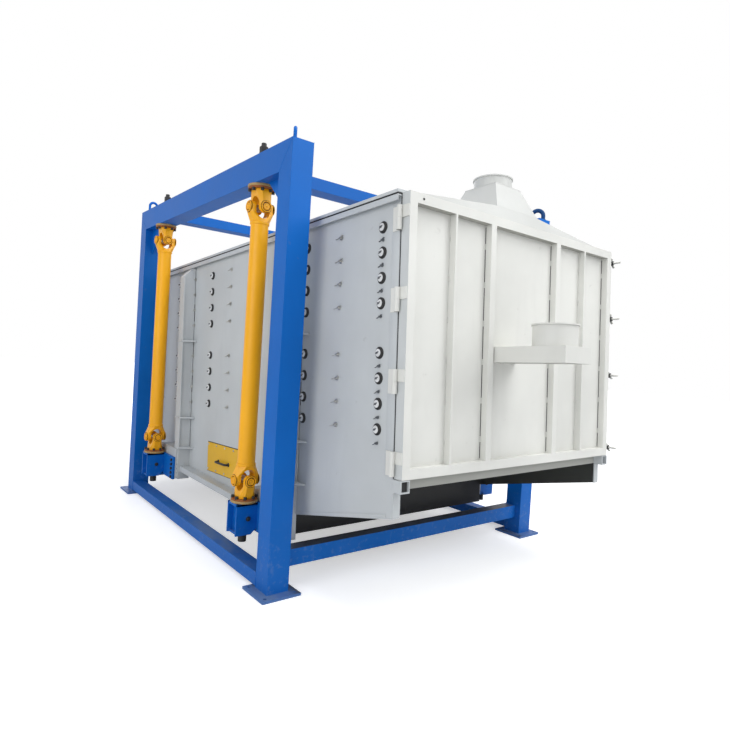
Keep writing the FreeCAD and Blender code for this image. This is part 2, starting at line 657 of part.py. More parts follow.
def build_walls():
    """Side walls with a hooked top rim, a front return below the sill and a sloping skirt."""
    outline = (("box_front", "wall_top"), ("box_end", "wall_top"), ("box_end", "-" + SKIRT_REAR),
               ("skirt_knee", "-skirt_drop"), ("box_front", "-skirt_front"))
    for side, sx in SIDES:
        name = "side_wall_" + side
        x_low, x_high = span(sx, WALL_IN, WALL_OUT)
        plate = prism(name + "_plate", "YZ", outline, x_low, x_high)
        x_low, x_high = span(sx, WALL_OUT, WALL_OUT + " + rim")
        bar = block(name + "_bar", x_low, x_high, "box_front", "box_end", "wall_top - rim", "wall_top")
        x_low, x_high = span(sx, WALL_OUT, WALL_OUT + " + rim - wall_thick")
        under = block(name + "_under", x_low, x_high, "box_front", "box_end", "wall_top - rim",
                      "wall_top - wall_thick")
        x_low, x_high = span(sx, WALL_OUT + " - wall_return", WALL_OUT)
        turned = block(name + "_return", x_low, x_high, "box_front", "box_front + wall_thick", "-skirt_front",
                       "-frame_tube")
        wall = fuse(name + "_sheet", plate, cut(name + "_rim", bar, under), turned)
        if sx < 0:
            hole = block(name + "_hatch_hole", "-" + WALL_OUT, "-" + WALL_IN, "hatch_front + rim",
                         "hatch_front + hatch_length - rim", "rim - hatch_top - hatch_height", "-hatch_top - rim")
            wall = cut(name + "_cut", wall, hole)
        node(name, tilted(name, wall))
    rear = block("rear_plate", "-" + WALL_IN, WALL_IN, "box_end - wall_thick", "box_end", "-" + SKIRT_REAR,
                 "wall_top")
    node("rear_wall", tilted("rear_wall", rear))


def outlet_x(index, edge):
    return "%d * outlet_pitch + %s" % (index, edge)


def build_floor():
    """Floor with three outlet openings, and the outlets hanging below it."""
    plate = block("floor_plate", "-" + WALL_IN, WALL_IN, "box_front", "box_end - wall_thick", "0", "wall_thick")
    holes = []
    outlets = []
    for i in (-1, 0, 1):
        x_low = outlet_x(i, "-outlet_width / 2")
        x_high = outlet_x(i, "outlet_width / 2")
        y_high = "outlet_start + outlet_length"
        inner = (x_low + " + outlet_sheet", x_high + " - outlet_sheet", "outlet_start + outlet_sheet",
                 y_high + " - outlet_sheet")
        holes.append(block("outlet_hole_%d" % i, *inner, "0", "wall_thick"))
        skin = block("outlet_skin_%d" % i, x_low, x_high, "outlet_start", y_high, "-outlet_drop", "0")
        lip = block("outlet_lip_%d" % i, x_low + " - outlet_flange", x_high + " + outlet_flange",
                    "outlet_start - outlet_flange", y_high + " + outlet_flange / 3", "-outlet_drop",
                    "outlet_sheet - outlet_drop")
        inside = block("outlet_inside_%d" % i, *inner, "-outlet_drop", "0")
        outlets.append(cut("outlet_%d" % i, fuse("outlet_outer_%d" % i, skin, lip), inside))
    node("box_floor", tilted("box_floor", cut("floor_cut", plate, *holes)))
    node("discharge_outlets", tilted("discharge_outlets", *outlets))


def build_front():
    """Front frame behind the door with a cross tube under the sill and two open stub tubes."""
    parts = []
    high = "box_front + frame_tube"
    for side, sx in SIDES:
        x_low, x_high = span(sx, WALL_IN + " - frame_tube", WALL_IN)
        parts.append(square_tube("front_post_" + side, "z", x_low, x_high, "box_front", high, "wall_thick",
                                 "wall_top", "wall_thick"))
    inner = WALL_IN + " - frame_tube"
    parts.append(square_tube("front_head", "x", "-(%s)" % inner, inner, "box_front", high, "wall_top - frame_tube",
                             "wall_top", "wall_thick"))
    parts.append(square_tube("sill_tube", "x", "-" + WALL_IN, WALL_IN, "box_front", high, "-frame_tube", "0",
                             "wall_thick"))
    for side, sx in SIDES:
        x_low, x_high = span(sx, WALL_OUT + " + wall_thick - frame_tube", WALL_OUT + " + wall_thick")
        parts.append(square_tube("stub_" + side, "y", x_low, x_high, "0", "box_front", "-stub_height", "-2",
                                 "wall_thick"))
    node("front_frame", tilted("front_frame", *parts))


def build_cover():
    """Tray-shaped cover with a feed slot, a low roof over the slot, and the hopper with its spout."""
    edge = WALL_OUT + " - 2 * wall_thick"
    tray = block("cover_tray", "-(%s)" % edge, edge, "box_front + 2", "box_end - wall_thick", "wall_top", CUP)
    rear = block("cover_rear", "wall_thick - (%s)" % edge, edge + " - wall_thick",
                 "roof_front + roof_length + wall_thick", "box_end - 2 * wall_thick", "wall_top + wall_thick", CUP)
    front = block("cover_front", "5 * wall_thick - (%s)" % edge, edge + " - 5 * wall_thick",
                  "roof_front + 2 * wall_thick", "roof_front + roof_length - wall_thick", "wall_top + wall_thick",
                  CUP)
    slot = block("feed_slot", "-feed_slot_half", "feed_slot_half", FEED_V + " - feed_slot_length / 2",
                 FEED_V + " + feed_slot_length / 2", "wall_top", CUP)
    node("top_cover", tilted("top_cover", cut("cover", tray, rear, front, slot)))
    roof_half = edge + " - 3 * wall_thick"
    levels = (CUP, CUP + " + roof_rise")
    shells = []
    for name, inset in (("roof_outer", "0"), ("roof_inner", "wall_thick")):
        base = ("%s - (%s)" % (inset, roof_half), "%s - %s" % (roof_half, inset), "roof_front + %s" % inset,
                "roof_front + roof_length - %s" % inset)
        top = ("%s - hopper_base" % inset, "hopper_base - %s" % inset, FEED_V + " - hopper_base + %s" % inset,
               FEED_V + " + hopper_base - %s" % inset)
        shells.append(frustum(name, base, top, *levels))
    node("feed_roof", tilted("feed_roof", cut("roof", *shells)))
    low = CUP + " + roof_rise"
    high = low + " + hopper_rise"
    shells = []
    for name, inset in (("hopper_outer", "0"), ("hopper_inner", "wall_thick")):
        corners = []
        for half in ("hopper_base", "hopper_top"):
            corners.append(("%s - %s" % (inset, half), "%s - %s" % (half, inset), FEED_V + " - %s + %s" % (half, inset),
                            FEED_V + " + %s - %s" % (half, inset)))
        shells.append(frustum(name, corners[0], corners[1], low, high))
    plate = block("hopper_plate", "-hopper_top", "hopper_top", FEED_V + " - hopper_top", FEED_V + " + hopper_top",
                  high, high + " + wall_thick")
    axis = ("0", FEED_V, "0")
    shell = cut("hopper", *shells)
    blank = fuse("inlet_blank", shell, plate, *spout("inlet", axis, high, "spout_rise"))
    bore = rod("inlet_bore", "z", axis, high, high + " + spout_rise", "spout_radius - spout_wall")
    node("inlet_hopper", tilted("inlet_hopper", cut("inlet", blank, bore)))


def spout(name, axis, low, rise):
    """Solid outline of a round spout with a rolled bead."""
    high = "%s + %s" % (low, rise)
    body = rod(name + "_spout", "z", axis, low, high, "spout_radius")
    bead = rod(name + "_bead", "z", axis, high + " - bead_rise", high, "spout_radius + bead_proud")
    return body, bead


def box_v(y):
    """Distance behind the door face of a frame Y, taken at the top of the mounting plates."""
    return "((%s + door_reach + (sill_height - mount_high) * sin(tilt)) / cos(tilt))" % y


def frame_y(v, z):
    """Frame Y of a distance behind the door face, taken at a height above the floor."""
    return "(%s / cos(tilt) + (%s - sill_height) * tan(tilt) - door_reach)" % (v, z)


def facing(sx, sy):
    """Which way a post stands from its shaft: to the rear at the front right, else towards the door."""
    return 1 if (sx, sy) == (1, -1) else -1


def beside(sx, sy, near, far):
    """A range beside a shaft axis, on the side where its post stands."""
    low, high = span(facing(sx, sy), near, far)
    axis = signed(sy, HANGER_Y)
    return "(%s + (%s))" % (axis, low), "(%s + (%s))" % (axis, high)


def build_posts():
    """Hanging posts with collars, shelves and mounting plates, and the bottom chords between them."""
    posts = []
    chords = []
    chord_low = "sill_height - skirt_knee * sin(tilt) - skirt_drop * cos(tilt)"
    for side, sx in SIDES:
        starts = []
        for end, sy in ENDS:
            name = "post_%s_%s" % (end, side)
            start = box_v(beside(sx, sy, "post_near", "post_near + post_width")[0])
            starts.append(start)
            foot = "(mount_low + %s * sin(tilt) - sill_height)" % start
            shapes = []
            for part, inset in (("skin", "0"), ("hollow", "post_wall")):
                inner = signed(sx, WALL_OUT + " + %s" % inset)
                outer = signed(sx, POST_OUT + " - %s" % inset)
                mid = signed(sx, POST_OUT + " - post_chamfer")
                points = ((inner, foot), (outer, foot), (outer, "post_top - post_chamfer - %s" % inset),
                          (mid, "post_top - %s" % inset), (inner, "post_top - %s" % inset))
                shapes.append(prism(name + "_" + part, "XZ", points, "%s + %s" % (start, inset),
                                    "%s + post_width - %s" % (start, inset)))
            blank = [shapes[0]]
            for level in ("collar_low", "collar_high"):
                x_low, x_high = span(sx, WALL_OUT, POST_OUT + " + collar_rise")
                blank.append(block(name + "_" + level, x_low, x_high, start + " - collar_rise",
                                   start + " + post_width + collar_rise", level, level + " + collar_thick"))
            post = tilted(name + "_tilted", cut(name, fuse(name + "_blank", *blank), shapes[1]))
            y_low, y_high = beside(sx, sy, "-bracket_half", "mount_reach")
            x_low, x_high = span(sx, POST_OUT, MOUNT_OUT)
            plate = block(name + "_plate", x_low, x_high, y_low, y_high, "mount_low", "mount_high")
            x_low, x_high = span(sx, WALL_OUT, MOUNT_OUT)
            shelf = block(name + "_shelf", x_low, x_high, y_low, y_high, "mount_high", "mount_high + collar_thick")
            x_low, x_high = span(sx, WALL_OUT, POST_OUT)
            y_low, y_high = beside(sx, sy, "2 * collar_thick - bracket_half", "3 * collar_thick - bracket_half")
            web = block(name + "_web", x_low, x_high, y_low, y_high, chord_low + " + chord_height", "mount_high")
            inside = tilted(name + "_inside", shapes[1])
            posts.append(cut(name + "_whole", fuse(name + "_joined", post, plate, shelf, web), inside))
        x_low, x_high = span(sx, WALL_OUT, WALL_OUT + " + chord_width")
        near = frame_y("(%s + post_width)" % starts[0], chord_low + " + chord_height")
        far = frame_y(starts[1], chord_low)
        chords.append(square_tube("bottom_chord_" + side, "y", x_low, x_high, near, far, chord_low,
                                  chord_low + " + chord_height", "post_wall"))
    node("hanging_posts", group("hanging_posts", *posts))
    node("bottom_chords", group("bottom_chords", *chords))


def build_brackets():
    """Box brackets under the shafts, bolted to the mounting plates."""
    brackets = []
    bolts = []
    low = "lower_flange - bracket_height"
    for corner, sx, sy in CORNERS:
        y = signed(sy, HANGER_Y)
        outer = HANGER_X + " + bracket_outer"
        inner = MOUNT_OUT + " + bracket_flange"
        points = []
        for x, z in ((inner, "lower_flange"), (outer, "lower_flange"), (outer, low),
                     (inner + " + bracket_chamfer", low), (inner, low + " + bracket_chamfer")):
            points.append((signed(sx, x), z))
        skin = prism("bracket_skin_" + corner, "XZ", points, y + " - bracket_half", y + " + bracket_half")
        x_low, x_high = span(sx, inner + " + bracket_plate", outer + " - bracket_plate")
        y_low, y_high = beside(sx, sy, "-bracket_half", "bracket_half - bracket_plate")
        pocket = block("bracket_pocket_" + corner, x_low, x_high, y_low, y_high, low + " + bracket_chamfer",
                       "lower_flange - bracket_top_plate")
        x_low, x_high = span(sx, MOUNT_OUT, inner)
        y_low, y_high = beside(sx, sy, "-bracket_half", "mount_reach")
        flange = block("bracket_flange_" + corner, x_low, x_high, y_low, y_high, low + " + collar_thick",
                       "lower_flange")
        brackets.append(cut("bracket_" + corner, fuse("bracket_blank_" + corner, skin, flange), pocket))
        across = "%s + %s" % (y, signed(facing(sx, sy), "mount_reach - mount_bolt_inset"))
        for i in range(5):
            z = low + " + mount_bolt_inset + %d * mount_bolt_pitch" % i
            x_low, x_high = span(sx, inner, inner + " + mount_bolt_height")
            bolts.append(hexagon("mount_bolt_%s_%d" % (corner, i), "x", ("0", across, z), x_low, x_high,
                                 "mount_bolt"))
        x = signed(sx, HANGER_X)
        bolts.append(rod("bottom_nut_" + corner, "z", (x, y, "0"), low + " - bottom_nut_height", low,
                         "bottom_nut_radius"))
    node("hanger_brackets", group("hanger_brackets", *brackets))
    node("bracket_bolts", group("bracket_bolts", *bolts))


def build_decks():
    """Eight decks: rails on the walls, trays of five fields with a thin floor, cloths and balls."""
    rails = []
    trays = []
    cloths = []
    balls = []
    end = "deck_start + 5 * field_length"
    for stack, i in LEVELS:
        name = "%s_%d" % (stack, i)
        seat = "%s - %d * deck_pitch - deck_height / 2" % (stack, i)
        top = seat + " + deck_height"
        for side, sx in SIDES:
            x_low, x_high = span(sx, WALL_IN + " - rail_width", WALL_IN)
            rails.append(block("rail_%s_%s" % (name, side), x_low, x_high, "deck_start", end, seat + " - rail_thick",
                               seat))
        tray = block("tray_" + name, "-deck_half", "deck_half", "deck_start", end, seat, top)
        fields = []
        for k in range(5):
            near = "deck_start + %d * field_length" % k
            fields.append(block("field_%s_%d" % (name, k), "deck_bar - deck_half", "deck_half - deck_bar",
                                near + " + deck_bar / 2", near + " + field_length - deck_bar / 2",
                                seat + " + tray_floor", top))
            if i == 0 and k == 2:
                ball = doc.addObject("Part::Sphere", "ball_%s_%d" % (name, k))
                bind(ball, "Radius", "ball_radius")
                balls.append(place(ball, "0", near + " + field_length / 2", seat + " + tray_floor + ball_radius"))
        trays.append(cut("deck_" + name, tray, *fields))
        cloths.append(block("cloth_" + name, "-deck_half", "deck_half", "deck_start", end, top, top + " + cloth_thick"))
    node("deck_rails", tilted("deck_rails", *rails))
    node("screen_trays", tilted("screen_trays", *trays))
    node("screen_cloths", tilted("screen_cloths", *cloths))
    node("cleaning_balls", tilted("cleaning_balls", *balls))


def build_ports():
    """Rubber plugs in rows on both side walls, the hatch and its bow handle."""
    plugs = []
    for side, sx in SIDES:
        x_low, x_high = span(sx, WALL_OUT, WALL_OUT + " + port_thick")
        for stack, i in LEVELS:
            for k in range(6):
                centre = ("0", "port_start + %d * field_length" % k, "%s - %d * deck_pitch" % (stack, i))
                plugs.append(hexagon("port_%s_%s_%d_%d" % (side, stack, i, k), "x", centre, x_low, x_high,
                                     "port_radius", 8))
    node("port_plugs", tilted("port_plugs", *plugs))
    low = "-hatch_top - hatch_height"
    plate = block("hatch_plate", "-%s - hatch_thick" % WALL_OUT, "-" + WALL_OUT, "hatch_front",
                  "hatch_front + hatch_length", low, "-hatch_top")
    node("hatch_cover", tilted("hatch_cover", plate))
    face = WALL_OUT + " + hatch_thick"
    middle = "-hatch_top - hatch_height * 0.58"
    near = "handle_centre - handle_span / 2"
    far = "handle_centre + handle_span / 2"
    outer = face + " + handle_rise"
    bars = [rod("handle_bar", "y", ("-(%s)" % outer, "0", middle), near, far, "handle_radius")]
    for i, v in enumerate((near, far)):
        bars.append(rod("handle_leg_%d" % i, "x", ("0", v, middle), "-(%s)" % outer, "-(%s)" % face,
                        "handle_radius"))
        ball = doc.addObject("Part::Sphere", "handle_bend_%d" % i)
        bind(ball, "Radius", "handle_radius")
        bars.append(place(ball, "-(%s)" % outer, v, middle))
    node("hatch_handle", tilted("hatch_handle", fuse("handle", *bars)))


HINGE_X = "(door_half + hinge_out)"
SCREW_LEVELS = ("screw_lowest", "screw_lower", "screw_upper", "screw_highest")


def build_door():
    """Door frame with ribs, recessed panel, chute with an upright spout, knuckles and clamp lugs."""
    outer = block("door_outer", "-door_half", "door_half", "0", "door_thick", "0", "door_height")
    inner = block("door_inner", "stile - door_half", "door_half - stile", "0", "door_thick", "stile",
                  "door_height - stile")
    ribs = []
    for name, axis, width in (("outer", "rib_outer", "rib_bar"), ("inner", "rib_inner", "rib_channel")):
        for side, sx in SIDES:
            x = signed(sx, axis)
            ribs.append(block("rib_%s_%s" % (name, side), x + " - %s / 2" % width, x + " + %s / 2" % width, "0",
                              "panel_depth", "stile", "door_height - stile"))
    hollows = []
    for side, sx in SIDES:
        x_low, x_high = span(sx, "door_half - stile + door_sheet", "door_half - door_sheet")
        hollows.append(block("stile_hollow_" + side, x_low, x_high, "door_sheet", "door_thick", "door_sheet",
                             "door_height - door_sheet"))
        x = signed(sx, "rib_inner")
        hollows.append(block("rib_hollow_" + side, x + " - rib_channel / 2 + door_sheet",
                             x + " + rib_channel / 2 - door_sheet", "door_sheet", "panel_depth", "stile",
                             "door_height - stile"))
    frame = cut("door_frame", fuse("door_ribbed", cut("door_ring", outer, inner), *ribs), *hollows)
    node("door_frame", tilted("door_frame", frame))
    panel = block("door_sheet_plate", "stile - door_half", "door_half - stile", "panel_depth",
                  "panel_depth + panel_thick", "stile", "door_height - stile")
    x_high = "chute_width - chute_left"
    mouth = block("chute_mouth", "door_sheet - chute_left", x_high + " - door_sheet", "panel_depth",
                  "panel_depth + panel_thick", "chute_low + door_sheet", "chute_low + chute_height - door_sheet")
    node("door_panel", tilted("door_panel", cut("door_panel_cut", panel, mouth)))
    top = "chute_low + chute_height"
    skin = block("chute_skin", "-chute_left", x_high, "-chute_reach", "panel_depth", "chute_low", top)
    inside = block("chute_inside", "door_sheet - chute_left", x_high + " - door_sheet", "door_sheet - chute_reach",
                   "panel_depth", "chute_low + door_sheet", top + " - door_sheet")
    axis = ("chute_width / 2 - chute_left", "chute_spout_in - chute_reach", "0")
    bore = rod("chute_bore", "z", axis, top + " - door_sheet", top + " + chute_spout_rise",
               "spout_radius - spout_wall")
    chute = cut("chute", fuse("chute_blank", skin, *spout("chute", axis, top, "chute_spout_rise")), inside, bore)
    node("door_chute", tilted("door_chute", chute))
    fittings = []
    boxed = []
    for i in range(4):
        low = "(hinge_start + %d * hinge_pitch)" % i
        mid = low + " + knuckle_length"
        upper = mid + " + seat_gap"
        high = upper + " + knuckle_length"
        centre = ("-" + HINGE_X, "door_thick", "0")
        barrel = rod("door_barrel_%d" % i, "z", centre, upper, high, "knuckle_radius")
        leaf = block("door_leaf_%d" % i, "-door_half - leaf_thick", "-door_half", "leaf_gap / 2", "door_thick",
                     upper, high)
        bore = rod("door_knuckle_bore_%d" % i, "z", centre, upper, high, "hinge_pin + running_gap")
        fittings.append(cut("door_knuckle_%d" % i, fuse("door_knuckle_blank_%d" % i, barrel, leaf), bore))
        barrel = rod("box_barrel_%d" % i, "z", centre, low, mid, "knuckle_radius")
        outer = "-%s - leaf_thick" % WALL_OUT
        end = "box_front + leaf_length"
        tall = block("box_leaf_%d" % i, outer, "-" + WALL_OUT, "door_thick + knuckle_radius + leaf_gap", end, low,
                     high)
        root = block("box_leaf_root_%d" % i, outer, "-" + WALL_OUT, "box_front", end, low, mid)
        pin = rod("hinge_pin_%d" % i, "z", centre, low, high, "hinge_pin")
        boxed.append(fuse("box_hinge_%d" % i, barrel, tall, root, pin))
    for i, level in enumerate(SCREW_LEVELS):
        centre = ("door_half + screw_out", "0", level)
        for kind, near, far, radius, home in (
                ("door", "door_thick - lug_thick", "door_thick", "screw_radius + running_gap", fittings),
                ("box", "box_front", "box_front + lug_thick", "screw_hole", boxed)):
            lug = block("%s_lug_%d" % (kind, i), "door_half", "door_half + lug_reach", near, far,
                        level + " - lug_half", level + " + lug_half")
            hole = rod("%s_lug_bore_%d" % (kind, i), "y", centre, near, far, radius)
            home.append(cut("%s_clamp_lug_%d" % (kind, i), lug, hole))
        seat = "door_thick - lug_thick"
        shank = rod("screw_shank_%d" % i, "y", centre, seat + " - 2 * lug_thick", "box_front + 2 * lug_thick",
                    "screw_radius")
        hub = rod("screw_hub_%d" % i, "y", centre, seat + " - lug_thick", seat + " - seat_gap", "1.8 * screw_radius")
        wing = block("screw_wing_%d" % i, centre[0] + " - wing_reach", centre[0] + " + wing_reach",
                     seat + " - 2 * lug_thick", seat + " - lug_thick", level + " - screw_radius",
                     level + " + screw_radius")
        node("hand_screw_%d" % (i + 1), tilted("hand_screw_%d" % (i + 1), fuse("screw_%d" % i, shank, hub, wing)))
    node("door_fittings", tilted("door_fittings", *fittings))
    node("box_fittings", tilted("box_fittings", *boxed))


CRADLE_V = box_v("-" + HANGER_Y + " - cradle_ahead")
ROTOR_V = "(" + CRADLE_V + " + cradle_length / 2)"
MOTOR_V = "(" + CRADLE_V + " + motor_back)"


def build_drive():
    """Cradle between the skirts with the eccentric rotor, the motor and the belt."""
    end = CRADLE_V + " + cradle_length"
    low = "-cradle_depth"
    base = "cradle_plate - cradle_depth"
    parts = [block("cradle_base", "-" + WALL_IN, WALL_IN, CRADLE_V, end, low, base)]
    parts.append(block("cradle_front_plate", "-" + WALL_IN, WALL_IN, CRADLE_V, CRADLE_V + " + cradle_plate",
                       low, "-cradle_top"))
    parts.append(block("cradle_rear_plate", "-" + WALL_IN, WALL_IN, end + " - cradle_plate", end, low, "-cradle_top"))
    parts.append(block("cradle_bridge", "-" + WALL_IN, WALL_IN, ROTOR_V + " - bridge_width / 2",
                       ROTOR_V + " + bridge_width / 2", "-cradle_top - bearing_height", "-cradle_top"))
    axis = ("0", ROTOR_V, "0")
    parts.append(rod("bearing_low", "z", axis, low, base + " + bearing_height", "bearing_radius"))
    bore = rod("bearing_bore", "z", axis, base, "-cradle_top", "rotor_radius + running_gap")
    node("drive_cradle", tilted("drive_cradle", cut("cradle", fuse("cradle_blank", *parts), bore)))
    shaft = rod("rotor_shaft", "z", axis, base + " + seat_gap", "-pulley_top", "rotor_radius")
    pulley = rod("rotor_pulley", "z", axis, "-pulley_top - pulley_height", "-pulley_top", "pulley_radius")
    middle = "-(cradle_depth + cradle_top) / 2"
    disc = rod("weight_disc", "z", axis, middle + " - weight_thick / 2", middle + " + weight_thick / 2",
               "weight_radius")
    half = block("weight_half", "-weight_radius", "weight_radius", ROTOR_V + " - rotor_radius",
                 ROTOR_V + " + weight_radius", middle + " - weight_thick / 2", middle + " + weight_thick / 2")
    weight = common("weight", disc, half)
    node("eccentric_rotor", tilted("eccentric_rotor", fuse("rotor", shaft, pulley, weight)))
    motor_axis = ("motor_x", MOTOR_V, "0")
    body = rod("motor_body", "z", motor_axis, base, base + " + motor_height", "motor_radius")
    box = block("terminal_box", "motor_x - terminal_size / 2", "motor_x + terminal_size / 2",
                MOTOR_V + " - motor_radius - terminal_proud", MOTOR_V, base + " + terminal_level",
                base + " + terminal_level + terminal_size")
    stem = rod("motor_stem", "z", motor_axis, base + " + motor_height", "-pulley_top", "motor_shaft")
    node("drive_motor", tilted("drive_motor", fuse("motor", body, box, stem)))
    pulley = rod("motor_pulley_disc", "z", motor_axis, "-pulley_top - pulley_height", "-pulley_top",
                 "motor_pulley_radius")
    bore = rod("motor_pulley_bore", "z", motor_axis, "-pulley_top - pulley_height", "-pulley_top",
               "motor_shaft + running_gap")
    node("motor_pulley", tilted("motor_pulley", cut("motor_pulley_cut", pulley, bore)))
    across = "motor_x"
    ahead = "(cradle_length / 2 - motor_back)"
    reach = "sqrt(%s * %s + %s * %s)" % (across, across, ahead, ahead)
    lean = "asin((pulley_radius - motor_pulley_radius) / %s)" % reach
    low = "-pulley_top - pulley_height / 2 - belt_height / 2"
    high = "-pulley_top - pulley_height / 2 + belt_height / 2"
    loops = []
    for name, more in (("belt_outer", "seat_gap + belt_thick"), ("belt_inner", "seat_gap")):
        big = "(pulley_radius + %s)" % more
        small = "(motor_pulley_radius + %s)" % more
        points = []
        for x, r, sign in (("0", big, -1), (reach, small, -1), (reach, small, 1), ("0", big, 1)):
            points.append(("%s + %s * sin(%s)" % (x, r, lean), "%d * %s * cos(%s)" % (sign, r, lean)))
        loops.append(fuse(name, prism(name + "_web", "XY", points, low, high),
                          rod(name + "_big", "z", ("0", "0", "0"), low, high, big),
                          rod(name + "_small", "z", (reach, "0", "0"), low, high, small)))
    belt = group("belt_turned", cut("belt_loop", *loops))
    belt.Placement = Placement(Vector(0, 0, 0), Rotation(Vector(0, 0, -1), 1))
    bind(belt, "Placement.Base.y", ROTOR_V)
    bind(belt, "Placement.Rotation.Angle", "atan2(%s; %s)" % (ahead, across))
    node("drive_belt", tilted("drive_belt", belt))


build_columns()
build_top_beams()
build_rails()
build_gussets()
build_feet()
build_eyes()
build_flange_yokes()
build_shafts()
build_crosses()
build_walls()
build_floor()
build_front()
build_cover()
build_posts()
build_brackets()
build_decks()
build_ports()
build_door()
build_drive()
doc.recompute()

for thing in doc.Objects:
    if "Invalid" in thing.State or "Error" in thing.State:
        raise RuntimeError("not built: %s %s" % (thing.Name, thing.State))
os.makedirs("parts", exist_ok=True)
for name, thing in NODES.items():
    shape = thing.Shape
    if shape.isNull() or not shape.isValid() or not shape.Solids:
        raise RuntimeError("no sound solid in " + name)
    shape.exportStep("parts/%s.step" % name)
    bounds = shape.BoundBox
    print("%-28s solids %3d  x %8.1f %8.1f  y %8.1f %8.1f  z %8.1f %8.1f" % (
        name, len(shape.Solids), bounds.XMin, bounds.XMax, bounds.YMin, bounds.YMax, bounds.ZMin, bounds.ZMax))
print("nodes", len(NODES))
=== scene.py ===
import json
import math

import bmesh
import bpy
from bpy.props import FloatProperty, FloatVectorProperty, IntProperty
from mathutils import Euler, Matrix, Vector


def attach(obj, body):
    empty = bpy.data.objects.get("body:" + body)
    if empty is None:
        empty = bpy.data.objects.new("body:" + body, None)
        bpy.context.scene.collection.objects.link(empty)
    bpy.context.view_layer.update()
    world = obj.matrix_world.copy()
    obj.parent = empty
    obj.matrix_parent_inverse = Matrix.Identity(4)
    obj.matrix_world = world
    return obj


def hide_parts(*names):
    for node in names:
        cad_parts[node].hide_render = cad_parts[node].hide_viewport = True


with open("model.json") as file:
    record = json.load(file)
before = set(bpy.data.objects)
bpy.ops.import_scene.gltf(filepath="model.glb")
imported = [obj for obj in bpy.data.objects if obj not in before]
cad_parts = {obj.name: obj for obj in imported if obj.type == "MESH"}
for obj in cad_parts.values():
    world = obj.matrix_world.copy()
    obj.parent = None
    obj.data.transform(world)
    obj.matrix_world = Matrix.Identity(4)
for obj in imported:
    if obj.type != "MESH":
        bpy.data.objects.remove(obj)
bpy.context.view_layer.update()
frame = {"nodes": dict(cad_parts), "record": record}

bl_info = {
    "name": "Gyratory Screener",
    "version": (1, 0, 0),
    "blender": (4, 5, 0),
    "location": "View3D > Sidebar > Screener",
    "description": "Dresses a hanging sieve box in its tube frame with its finishes and small fittings",
    "category": "Object",
}

NODES = frame["nodes"]
SIDES = (-1, 1)
NONE = (0.0, 0.0, 0.0)
UP = (0.0, -math.pi / 2, 0.0)
DOWN = (0.0, math.pi / 2, 0.0)
FLAT, UPRIGHT = (0, 1, 2), (0, 2, 1)

# The frame and the hangers are placed in the world, with x and y counted outwards from the middle.
CORNERS = (("front_left", -1, -1), ("rear_left", -1, 1), ("front_right", 1, -1), ("rear_right", 1, 1))
COLUMN_X = (1.090, 1.230)
COLUMN_Y = (1.225, 1.365)
FRAME_TOP = 2.604
FOOT_PLATE_TOP = 0.0165
SHAFT_X, SHAFT_Y = 1.160, 0.885
UPPER_PIN, LOWER_PIN = 2.294, 0.574
PIN_TO_COLLAR = 0.107
EAR = 0.078
UPPER_FLANGE, LOWER_FLANGE = 2.420, 0.448
FLANGE_BOLTS = 0.073
FLANGE_DEPTH = 0.012
EYE_Y, EYE_HEIGHT = 1.265, 0.101
BRACKET_TOP, BRACKET_FOOT = 0.434, 0.234
BRACKET_HALF, BRACKET_REACH = 0.066, 0.292

# The box has its own tilted coordinates: x across, v back from the door, w up from the door's lower edge.
TILT = math.radians(2.72)
BOX_FRAME = Matrix.Translation((0.0, -2.133, 0.817)) @ Matrix.Rotation(-TILT, 4, "X")
WALL = 0.960
BOX_END = 3.954
STACKS = (1.272, 0.624)
FIRST_PORT, FIRST_CLAMP, EDGE_CLAMP = 0.198, 0.565, 0.196
CLAMP_LEVELS, EDGE_CLAMP_LEVELS = (1.279, 0.618), (1.206, 0.556)
POSTS = ((-1, 0.9534), (-1, 2.7254), (1, 1.4860), (1, 2.7254))
POST_WIDTH = 0.090
GUSSET_LEVELS = (-0.175, 0.082, 0.739)
POST_RUNS = ((-0.150, 0.076), (0.098, 0.300), (0.455, 0.600), (0.755, 0.912), (1.072, 1.370))
POST_GAPS = ((0.306, 0.449), (0.607, 0.735), (0.918, 1.066))
HEM = ((0.110, -0.2005), (1.334, -0.4400), (3.958, -0.3153))
HATCH_V, HATCH_W = (1.682, 2.322), (-0.302, -0.076)
HANDLE_V, HANDLE_W = (1.9275, 2.1090), -0.2071
DOOR_FACE = 0.042
DOOR_TOP = 1.400
SEAL_V = (0.0583, 0.0655)
RIBS = ((-0.622, 0.007), (-0.317, 0.022), (0.317, 0.022), (0.622, 0.007))
DOOR_EDGE = (0.952, 0.044)
SCREW_X = 1.002
SCREW_LEVELS = (0.050, 0.555, 0.953, 1.348)
SCREW_SPINS = (0.9, 0.7, 1.2, 1.05)
MOTOR_X, MOTOR_V, MOTOR_FOOT = 0.650, 1.2795, -0.480
MOTOR_RADIUS, FIN_LENGTH = 0.0845, 0.190

PALE_NODES = {"feed_roof": "roof_white", "inlet_hopper": "roof_white", "box_fittings": "door_white"}
LAMP_WIDTH = 5.0
LAMP_AIM = (0.0, -0.4, 1.2)
LAMPS = (("key", (3.2, -8.0, 6.0), 262.0), ("fill", (-8.0, -3.5, 3.5), 190.0),
         ("top", (0.3, -3.6, 8.5), 315.0), ("back", (2.0, 8.0, 5.0), 170.0))


def linear(channel):
    """A display value from 0 to 255 as linear light."""
    value = channel / 255.0
    return value / 12.92 if value <= 0.04045 else ((value + 0.055) / 1.055) ** 2.4


def tint(red, green, blue):
    return (linear(red), linear(green), linear(blue), 1.0)


